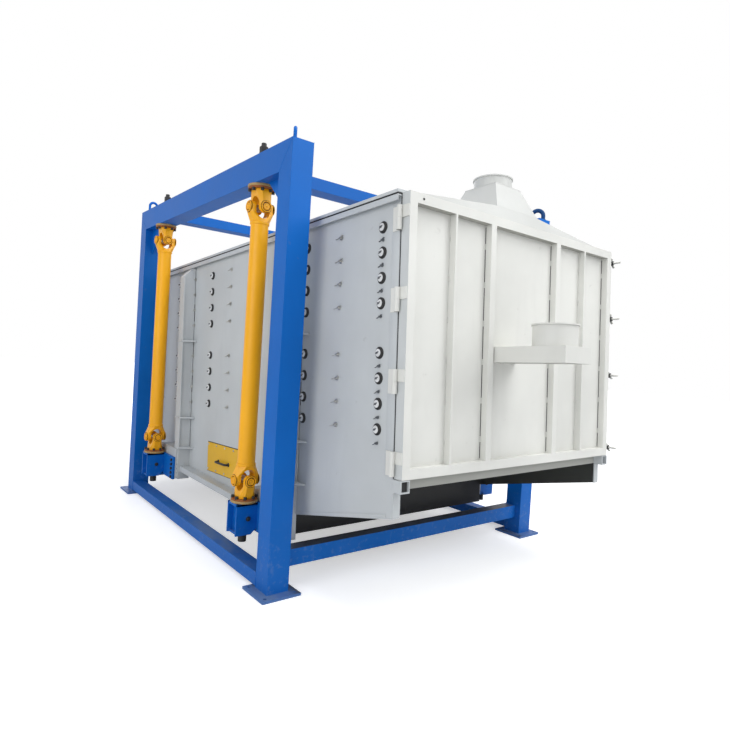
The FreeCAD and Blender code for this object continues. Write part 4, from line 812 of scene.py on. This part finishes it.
class SCREENER_OT_flanges(bpy.types.Operator):
    """Puts flange rings, companion flanges and bolts on the joints, and studs and nuts on the beams"""
    bl_idname = "screener.flanges"
    bl_label = "Flanges and bolts"

    def execute(self, context):
        ring = turned(((0.0600, 0.0010), (0.0600, -0.0015), (0.0835, -0.0015), (0.0858, 0.0010),
                       (0.0858, 0.0120), (0.0840, 0.0138), (0.0835, 0.0010)), 48, ring=True)
        upper = at_corners(UPPER_FLANGE, UP)
        lower = at_corners(LOWER_FLANGE, DOWN)
        copied("upper_flange_rings", ring.copy(), upper, "flange_khaki", "frame", "shaft_yellow")
        copied("lower_flange_rings", ring, lower, "flange_khaki", "screen_box", "shaft_yellow")

        companion = turned(((0.0585, -0.0010), (0.0585, -0.0130), (0.0800, -0.0130), (0.0822, -0.0108),
                            (0.0822, -0.0010)), 48, ring=True)
        copied("upper_companion_flanges", companion.copy(), upper, "flange_brown", "frame", "shaft_yellow")
        copied("lower_companion_flanges", companion, lower, "flange_brown", "screen_box", "shaft_yellow")

        high = []
        low = []
        for corner, sx, sy in CORNERS:
            for i in range(8):
                angle = math.pi / 8 + math.pi / 4 * i
                x = sx * SHAFT_X + FLANGE_BOLTS * math.cos(angle)
                y = sy * SHAFT_Y + FLANGE_BOLTS * math.sin(angle)
                high.append(((x, y, UPPER_FLANGE - FLANGE_DEPTH), DOWN))
                low.append(((x, y, LOWER_FLANGE + FLANGE_DEPTH), UP))
        head = hex_bolt(0.0105, 0.017, 0.0115)
        heads = copied("upper_flange_bolts", head.copy(), high, "dark_steel", "frame", "dark_steel")
        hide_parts("upper_bolts")
        heads = copied("lower_flange_bolts", head, low, "dark_steel", "screen_box", "dark_steel")
        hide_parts("lower_bolts")

        lower_nut = turned(((0.0, 0.004), (0.026, 0.004), (0.0270, 0.007), (0.0270, 0.045), (0.024, 0.048),
                            (0.0, 0.048)), 6)
        upper_nut = turned(((0.0, 0.047), (0.026, 0.047), (0.0270, 0.050), (0.0270, 0.074), (0.024, 0.078),
                            (0.0, 0.078)), 6)
        end = turned(((0.0, 0.077), (0.0165, 0.077), (0.0165, 0.096), (0.0140, 0.099), (0.0, 0.099)), 20)
        stud = gathered(disc(0.037, -0.001, 0.005, 28), lower_nut, upper_nut, end)
        copied("beam_stud_nuts", stud, at_corners(FRAME_TOP, UP), "dark_steel", "frame", "dark_steel")
        return {"FINISHED"}


class SCREENER_OT_brackets(bpy.types.Operator):
    """Replaces the brackets under the hangers by welded channels, open to the outside"""
    bl_idname = "screener.brackets"
    bl_label = "Hanger brackets"

    def execute(self, context):
        parts = []
        centre_bolts = []
        nuts = []
        profile = ((1.095, BRACKET_TOP), (1.240, BRACKET_TOP), (1.240, BRACKET_FOOT), (1.135, BRACKET_FOOT),
                   (1.095, BRACKET_FOOT + 0.040))
        for corner, sx, sy in CORNERS:
            y = sy * SHAFT_Y
            reach = 1 if corner == "front_right" else -1
            for side in SIDES:
                ends = sorted((y + side * BRACKET_HALF, y + side * (BRACKET_HALF - 0.012)))
                parts.append(prism([(sx * x, z) for x, z in profile], ends[0], ends[1], UPRIGHT))
                centre_bolts.append(((sx * 1.158, y + side * BRACKET_HALF, 0.336),
                                     (0.0, 0.0, side * math.pi / 2)))
            across = (y - BRACKET_HALF, y + BRACKET_HALF)
            between = (across[0] + 0.011, across[1] - 0.011)
            parts.append(mirrored(sx, (1.094, 1.240), across, (0.418, BRACKET_TOP)))
            parts.append(mirrored(sx, (1.192, 1.203), between, (0.235, 0.420)))
            parts.append(mirrored(sx, (1.134, 1.226), between, (BRACKET_FOOT, 0.246)))
            edge = y + reach * BRACKET_REACH
            parts.append(mirrored(sx, (1.075, 1.095), (y - reach * BRACKET_HALF, edge), (0.244, BRACKET_TOP)))
            nuts += [((sx * 1.0605, edge - reach * 0.011, 0.264 + 0.036 * i), outward(-sx)) for i in range(5)]
        channels = piece_of("channel_brackets", gathered(*parts), "frame_blue", "screen_box")
        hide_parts("hanger_brackets")
        for name, shape, rows in (("bracket_centre_bolts", hex_bolt(0.0125, 0.012, 0.016), centre_bolts),
                                  ("mounting_nuts", hex_bolt(0.0125, 0.016, 0.0135), nuts)):
            copied(name, shape, rows, "dark_steel", "screen_box", "dark_steel")
        return {"FINISHED"}


class SCREENER_OT_posts(bpy.types.Operator):
    """Gives the hanging posts their lips and gusset plates, and dark strips as painted shadow in the gaps
    between their stitch welds
    """
    bl_idname = "screener.posts"
    bl_label = "Post plates"

    def execute(self, context):
        plates = []
        gaps = []
        inner = WALL - 0.001
        for side, start in POSTS:
            front = side > 0 and start < 2.0
            edge = start + POST_WIDTH if front else start
            away = 1 if front else -1
            outline = ((side * inner, edge - away * 0.004), (side * 1.068, edge - away * 0.004),
                       (side * 1.068, edge + away * 0.010), (side * (WALL + 0.012), edge + away * 0.088),
                       (side * inner, edge + away * 0.088))
            plates += [prism(outline, level, level + 0.010, FLAT) for level in GUSSET_LEVELS]
            lip = (edge - away * 0.002, edge + away * 0.009)
            plates.append(mirrored(side, (1.050, 1.0602), lip, (-0.170, 1.295)))
            plates.append(mirrored(side, (WALL + 0.0045, WALL + 0.0135), lip, (-0.170, 1.374)))
            # Dark strips in the gaps between the stitch welds: painted shadow.
            line = (edge + away * 0.0005, edge + away * 0.0085)
            gaps += [mirrored(side, (inner, WALL + 0.0042), line, levels, 0.0008) for levels in POST_GAPS]
        plating("post_plates", plates)
        sealing_and_shade("post_weld_gaps", gaps)
        return {"FINISHED"}


class SCREENER_OT_eyes(bpy.types.Operator):
    """Replaces the plate lifting eyes by forged round-bar bows on collars"""
    bl_idname = "screener.eyes"
    bl_label = "Lifting eyes"

    def execute(self, context):
        places = {corner: (sx * SHAFT_X, sy * EYE_Y, 0.0) for corner, sx, sy in CORNERS}
        places["front_left"] = (-SHAFT_X, -EYE_Y, 60.0)
        places["front_right"] = (SHAFT_X, -1.290, 115.0)
        for name, finish, bar, half, corners in (
                ("lifting_bows", "frame_blue", 0.011, 0.033, ("front_left", "rear_left", "rear_right")),
                # The heavy bow takes the darker blue, which is painted shade.
                ("heavy_lifting_bow", "shade_dark_blue", 0.017, 0.047, ("front_right",))):
            rise = EYE_HEIGHT - bar - half
            angles = [math.pi * k / 16 for k in range(17)]
            bend = [(half * math.cos(angle), 0.0, rise + half * math.sin(angle)) for angle in angles]
            line = [(half, 0.0, 0.006), (half, 0.0, 0.024), *bend, (-half, 0.0, 0.024), (-half, 0.0, 0.006)]
            collar = ((0.0, -0.001), (bar + 0.006, -0.001), (bar + 0.006, 0.006), (bar + 0.001, 0.011),
                      (0.0, 0.011))
            feet = [moved(turned(collar, 16), (x, 0.0, 0.0), UP) for x in (-half, half)]
            rows = [((x, y, FRAME_TOP), (0.0, 0.0, math.radians(turn)))
                    for x, y, turn in [places[corner] for corner in corners]]
            bow = gathered(tube(line, bar, 14), *feet)
            copied(name, bow, rows, finish, "frame", "frame_blue")
        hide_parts("lifting_eyes")
        return {"FINISHED"}


def corner_runs():
    """The weld runs at one corner of the frame, counted outwards from its middle."""
    low_x, high_x = COLUMN_X
    low_y, high_y = COLUMN_Y
    face_x, face_y = 1.089, 1.226
    beam_x, base_rail_y = 1.130, 1.315
    rail_y, rail_z = (0.815, 0.955), (2.479, 2.559)
    runs = [((x, face_y, 0.025), (x, face_y, 0.105)) for x in (beam_x, high_x)]
    runs.append(((beam_x, face_y, 0.106), (high_x, face_y, 0.106)))
    runs += [((face_x, y, 0.140), (face_x, y, 0.240)) for y in (low_y, base_rail_y)]
    runs.append(((face_x, low_y, 0.241), (face_x, base_rail_y, 0.241)))
    runs += [((face_x, rail_y[0], z), (face_x, rail_y[1], z)) for z in rail_z]
    runs += [((face_x, y, rail_z[0]), (face_x, y, rail_z[1])) for y in rail_y]
    for x in (SHAFT_X - 0.007, SHAFT_X + 0.007):
        runs.append(((x, 1.2245, 2.220), (x, 1.2245, 2.430)))
        runs.append(((x, 0.995, 2.4335), (x, 1.220, 2.4335)))
    runs += [((low_x, y, FOOT_PLATE_TOP), (high_x, y, FOOT_PLATE_TOP)) for y in COLUMN_Y]
    runs += [((x, low_y, FOOT_PLATE_TOP), (x, high_y, FOOT_PLATE_TOP)) for x in COLUMN_X]
    return runs


class SCREENER_OT_welds(bpy.types.Operator):
    """Lays the weld beads of the frame and the posts, the tacks of the door ribs, and dark strips as painted
    shadow in the seams beside the ribs
    """
    bl_idname = "screener.welds"
    bl_label = "Weld beads"

    def execute(self, context):
        joints = []
        seams = []
        for corner, sx, sy in CORNERS:
            joints += [[(sx * x, sy * y, z) for x, y, z in run] for run in corner_runs()]
            for x in (1.0903, 1.2297):
                seams.append(((sx * x, sy * 1.226, 2.435), (sx * x, sy * 1.364, 2.603)))
        welded("frame_beads", joints, "frame_blue", "frame")
        welded("mitre_seams", seams, "frame_blue", "frame", radius=0.0014)

        posts = []
        for side, start in POSTS:
            x = side * (WALL + 0.001)
            for v in (start, start + POST_WIDTH):
                posts += [((x, v, low), (x, v, high)) for low, high in POST_RUNS]
        welded("post_beads", posts, "bead_grey", "screen_box", BOX_FRAME)

        ribs = []
        seams = []
        for x, half in RIBS + (DOOR_EDGE,):
            edge = x - half - 0.0005
            ribs += stitches((edge, DOOR_FACE, 0.060), (edge, DOOR_FACE, 1.360), 0.026, 0.190)
            # A dark strip along the rib's left edge: painted shadow in the seam between rib and panel.
            if half > 0.01:
                seams.append(slab((edge - 0.0016, 0.0400, 0.062), (edge + 0.0018, 0.0436, 1.358)))
        for w in (0.6015, 0.6875):
            ribs += stitches((-0.283, 0.0425, w), (-0.040, 0.0425, w), 0.03, 0.05)
        welded("door_rib_tacks", ribs, "door_white", "door", BOX_FRAME, radius=0.0055)
        sealing_and_shade("door_rib_seams", seams, "door")
        return {"FINISHED"}


class SCREENER_OT_hatch(bpy.types.Operator):
    """Gives the yellow hatch its gasket, its edge screws and its bow handle"""
    bl_idname = "screener.hatch"
    bl_label = "Hatch fittings"

    def execute(self, context):
        low_v, high_v = HATCH_V
        low_w, high_w = HATCH_W
        rim = 0.005
        depth = (WALL - 0.0005, WALL + 0.0035)
        strips = [mirrored(-1, depth, (low_v - rim, high_v + rim), (w - rim / 2, w + rim / 2), 0.001)
                  for w in (low_w - rim / 2, high_w + rim / 2)]
        strips += [mirrored(-1, depth, (v - rim / 2, v + rim / 2), (low_w - rim, high_w + rim), 0.001)
                   for v in (low_v - rim / 2, high_v + rim / 2)]
        sealing_and_shade("hatch_gasket", strips)

        hexagon = ((0.0, 0.001), (0.0058, 0.001), (0.0058, 0.0045), (0.0040, 0.0058), (0.0, 0.0060))
        screw = gathered(disc(0.0085, -0.001, 0.0012, 14, 0.0002), turned(hexagon, 6))
        face = -WALL - 0.006
        rows = [((face, low_v + 0.016 + 0.152 * i, w), outward(-1)) for i in range(5)
                for w in (low_w + 0.016, high_w - 0.016)]
        copied("hatch_screws", screw, rows, "bright_steel", "screen_box", "bright_steel", BOX_FRAME)

        path = []
        bend_radius = 0.016
        for v, turn in zip(HANDLE_V, SIDES):
            angles = [math.pi / 2 * k / 5 for k in range(6)]
            bend = [(face, v)] + [(-0.980 - bend_radius * math.sin(angle),
                                   v - turn * bend_radius * (1.0 - math.cos(angle))) for angle in angles]
            path += bend if turn < 0 else bend[::-1]
        grip = [(x, v, HANDLE_W) for x, v in path]
        foot = ((0.0, -0.001), (0.0150, -0.001), (0.0150, 0.004), (0.0105, 0.008), (0.0, 0.010))
        feet = [moved(turned(foot, 18), (face, v, HANDLE_W), outward(-1)) for v in HANDLE_V]
        bow = piece_of("hatch_bow_handle", gathered(tube(grip, 0.0085, 14), *feet), "handle_black",
                       "screen_box", BOX_FRAME)
        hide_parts("hatch_handle")
        return {"FINISHED"}


def strip_along(points, low, high, wide):
    """A thin strip from x low to x high that follows points in the plane of a side wall."""
    bars = []
    for (v0, w0), (v1, w1) in zip(points, points[1:]):
        bar = slab((low, -0.001, 0.0), (high, math.hypot(v1 - v0, w1 - w0) + 0.001, wide), 0.0008)
        bars.append(moved(bar, (0.0, v0, w0), (math.atan2(w1 - w0, v1 - v0), 0.0, 0.0)))
    return gathered(*bars)


class SCREENER_OT_trims(bpy.types.Operator):
    """Adds the seals of door and cover, the hems, folds and cover bars, and the door's edge screws"""
    bl_idname = "screener.trims"
    bl_label = "Edges and seals"

    def execute(self, context):
        seal = [mirrored(side, (WALL - 0.006, WALL + 0.0006), SEAL_V, (0.0, 1.408), 0.0008) for side in SIDES]
        for w in (0.0, DOOR_TOP):
            seal.append(slab((-0.955, SEAL_V[0], w), (0.955, SEAL_V[1], w + 0.008), 0.0008))
        sealing_and_shade("door_seal", seal)

        hems = []
        for side in SIDES:
            low, high = sorted((side * (WALL - 0.001), side * (WALL + 0.0035)))
            hems.append(strip_along(HEM, low, high, 0.016))
        plating("skirt_hem", hems, "bead_grey")
        folds = [mirrored(side, (WALL - 0.001, WALL + 0.0025), (0.0665, 0.124), (0.002, 1.378), 0.0012)
                 for side in SIDES]
        plating("wall_folds", folds)

        length = (0.062, BOX_END)
        joint = [mirrored(side, (0.9460, 0.9850), length, (1.4082, 1.4212), 0.0) for side in SIDES]
        bars = [mirrored(side, (0.9460, 0.9870), length, (1.4210, 1.4380), 0.001) for side in SIDES]
        sealing_and_shade("cover_seal", joint)
        plating("cover_edge_bars", bars)
        sealing_and_shade("stub_shadow_plug", [slab((-0.9610, 0.014, -0.0610), (-0.9110, 0.050, -0.0070))])

        head = turned(((0.0, -0.001), (0.0060, -0.001), (0.0060, 0.0022), (0.0042, 0.0034),
                       (0.0, 0.0036)), 12)
        rows = [((-0.868, 0.0, 1.394), (0.0, 0.0, -math.pi / 2))]
        rows += [((WALL, 0.047, level - 0.040), outward(1)) for level in SCREW_LEVELS]
        copied("door_screws", head, rows, "dark_steel", "door", "dark_steel", BOX_FRAME)
        return {"FINISHED"}


class SCREENER_OT_hand_screws(bpy.types.Operator):
    """Replaces the door's clamp screws by threaded rods with washers, wing nuts and dark sleeves"""
    bl_idname = "screener.hand_screws"
    bl_label = "Door hand screws"

    def execute(self, context):
        thread = [(0.0, -0.044), (0.0060, -0.044)]
        for i in range(60):
            thread.append((0.0079 if i % 2 else 0.0068, -0.0425 + 0.0023 * i))
        thread += [(0.0060, 0.0965), (0.0, 0.0965)]
        ahead = (0.0, 0.0, math.pi / 2)
        for i, (level, spin) in enumerate(zip(SCREW_LEVELS, SCREW_SPINS), 1):
            hub = turned(((0.0, 0.0225), (0.0105, 0.0225), (0.0125, 0.030), (0.0140, 0.0330),
                          (0.0140, 0.0370), (0.0, 0.0370)), 20)
            washer = disc(0.0170, 0.0368, 0.0396, 24)
            nut = turned(((0.0, 0.0785), (0.0135, 0.0785), (0.0145, 0.080), (0.0145, 0.090), (0.0, 0.090)), 6)
            wings = pair_of_wings((0.0, 0.007, -0.004), (0.016, 0.036, 0.004), 0.003, 0.014, 0.30)
            shape = moved(gathered(turned(thread, 16), hub, washer, nut, *wings), NONE, (spin, 0.0, 0.0))
            sleeve = turned(((0.0, 0.0075), (0.0150, 0.0075), (0.0165, 0.010), (0.0165, 0.021),
                             (0.0135, 0.0240), (0.0, 0.0240)), 20)
            place = (SCREW_X, 0.0, level)
            body = "hand_screw_%d" % i
            screw = piece_of("clamp_screw_%d" % i, moved(shape, place, ahead), "bright_steel", body,
                             BOX_FRAME)
            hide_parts(body)
            piece_of("clamp_sleeve_%d" % i, moved(sleeve, place, ahead), "dark_steel", body,
                     BOX_FRAME)
        return {"FINISHED"}


class SCREENER_OT_motor(bpy.types.Operator):
    """Adds the cooling fins of the drive motor"""
    bl_idname = "screener.motor"
    bl_label = "Motor fins"

    def execute(self, context):
        fin = slab((-0.002, -0.0016, 0.0), (0.011, 0.0016, FIN_LENGTH), 0.0008)
        rows = []
        for i in range(sizes().motor_fins):
            angle = math.tau * i / sizes().motor_fins
            rows.append(((MOTOR_X + MOTOR_RADIUS * math.cos(angle), MOTOR_V + MOTOR_RADIUS * math.sin(angle),
                          MOTOR_FOOT), (0.0, 0.0, angle)))
        copied("motor_fins", fin, rows, "motor_grey", "screen_box", "motor_grey", BOX_FRAME)
        return {"FINISHED"}


def studio_light(net):
    """Soft light on the object, and plain white where the camera, a reflection or a clear piece sees it."""
    seen = [net.node("ShaderNodeLightPath", output=ray)
            for ray in ("Is Camera Ray", "Is Glossy Ray", "Is Transmission Ray")]
    either = net.node("ShaderNodeMath", {"operation": "MAXIMUM"}, {0: seen[0], 1: seen[1]})
    either = net.node("ShaderNodeMath", {"operation": "MAXIMUM"}, {0: either, 1: seen[2]})
    soft = net.node("ShaderNodeBackground", None, {"Color": (0.93, 0.96, 1.0, 1.0), "Strength": 0.5})
    white = net.node("ShaderNodeBackground", None, {"Color": (1.0, 1.0, 1.0, 1.0)})
    mixed = net.node("ShaderNodeMixShader", None, {0: either, 1: soft, 2: white})
    net.node("ShaderNodeOutputWorld", None, {0: mixed})


def floor_paint(net):
    """A matt floor that fades to the white of the studio far from the object."""
    place = net.node("ShaderNodeTexCoord", output="Object")
    reach = net.node("ShaderNodeVectorMath", {"operation": "LENGTH"}, {0: place}, output="Value")
    rise = net.node("ShaderNodeMapRange", None,
                    {"Value": reach, "From Min": 2.5, "From Max": 9.0, "To Min": 0.5, "To Max": 0.95})
    seen = net.node("ShaderNodeLightPath", output="Is Camera Ray")
    matt = net.node("ShaderNodeBsdfDiffuse", None, {"Color": (0.86, 0.86, 0.86, 1.0)})
    glow = net.node("ShaderNodeEmission", None, {"Strength": seen * rise})
    both = net.node("ShaderNodeAddShader", None, {0: matt, 1: glow})
    net.node("ShaderNodeOutputMaterial", None, {0: both})


class SCREENER_OT_stage(bpy.types.Operator):
    """Adds the pale floor, the soft lamps and the camera"""
    bl_idname = "screener.stage"
    bl_label = "Set the stage"

    def execute(self, context):
        scene = context.scene
        scene.view_settings.view_transform = "Standard"
        scene.world = bpy.data.worlds.new("studio")
        scene.world.use_nodes = True
        studio_light(Network(scene.world.node_tree))

        bpy.ops.mesh.primitive_plane_add(size=60.0, location=NONE)
        floor = context.object
        floor.name = "studio_floor"
        pale = bpy.data.materials.new("pale_floor")
        pale.use_nodes = True
        floor_paint(Network(pale.node_tree))
        floor.data.materials.append(pale)

        for name, spot, power in LAMPS:
            lamp = bpy.data.lights.new(name + "_lamp", "AREA")
            lamp.size = LAMP_WIDTH
            lamp.energy = power
            holder = bpy.data.objects.new(name + "_lamp", lamp)
            holder.location = spot
            holder.rotation_euler = (Vector(LAMP_AIM) - Vector(spot)).to_track_quat("-Z", "Y").to_euler()
            scene.collection.objects.link(holder)

        camera = bpy.data.cameras.new("photo_camera")
        camera.sensor_width = 36.0
        camera.lens = 27.67
        camera.clip_end = 100.0
        holder = bpy.data.objects.new("photo_camera", camera)
        holder.location = (-2.8067, -4.1254, 1.4304)
        holder.rotation_euler = (math.radians(88.68), math.radians(-3.50), math.radians(-38.26))
        scene.collection.objects.link(holder)
        scene.camera = holder
        return {"FINISHED"}


OPERATORS = (SCREENER_OT_paint, SCREENER_OT_ports, SCREENER_OT_clamps, SCREENER_OT_joints,
             SCREENER_OT_flanges, SCREENER_OT_brackets, SCREENER_OT_posts, SCREENER_OT_eyes,
             SCREENER_OT_welds, SCREENER_OT_hatch, SCREENER_OT_trims, SCREENER_OT_hand_screws,
             SCREENER_OT_motor, SCREENER_OT_stage)


class SCREENER_PT_panel(bpy.types.Panel):
    bl_label = "Gyratory Screener"
    bl_idname = "SCREENER_PT_panel"
    bl_space_type = "VIEW_3D"
    bl_region_type = "UI"
    bl_category = "Screener"

    def draw(self, context):
        for group in (context.scene.screener_sizes, context.scene.screener_colours):
            for key in group.bl_rna.properties.keys():
                if key not in ("rna_type", "name"):
                    self.layout.prop(group, key)
        for operator in OPERATORS:
            self.layout.operator(operator.bl_idname)


CLASSES = (ScreenerSizes, ScreenerColours) + OPERATORS + (SCREENER_PT_panel,)


def register():
    for cls in CLASSES:
        bpy.utils.register_class(cls)
    bpy.types.Scene.screener_sizes = bpy.props.PointerProperty(type=ScreenerSizes)
    bpy.types.Scene.screener_colours = bpy.props.PointerProperty(type=ScreenerColours)


def unregister():
    del bpy.types.Scene.screener_colours
    del bpy.types.Scene.screener_sizes
    for cls in reversed(CLASSES):
        bpy.utils.unregister_class(cls)


def main():
    register()
    for operator in OPERATORS:
        group, name = operator.bl_idname.split(".")
        getattr(getattr(bpy.ops, group), name)()


if __name__ == "__main__":
    main()
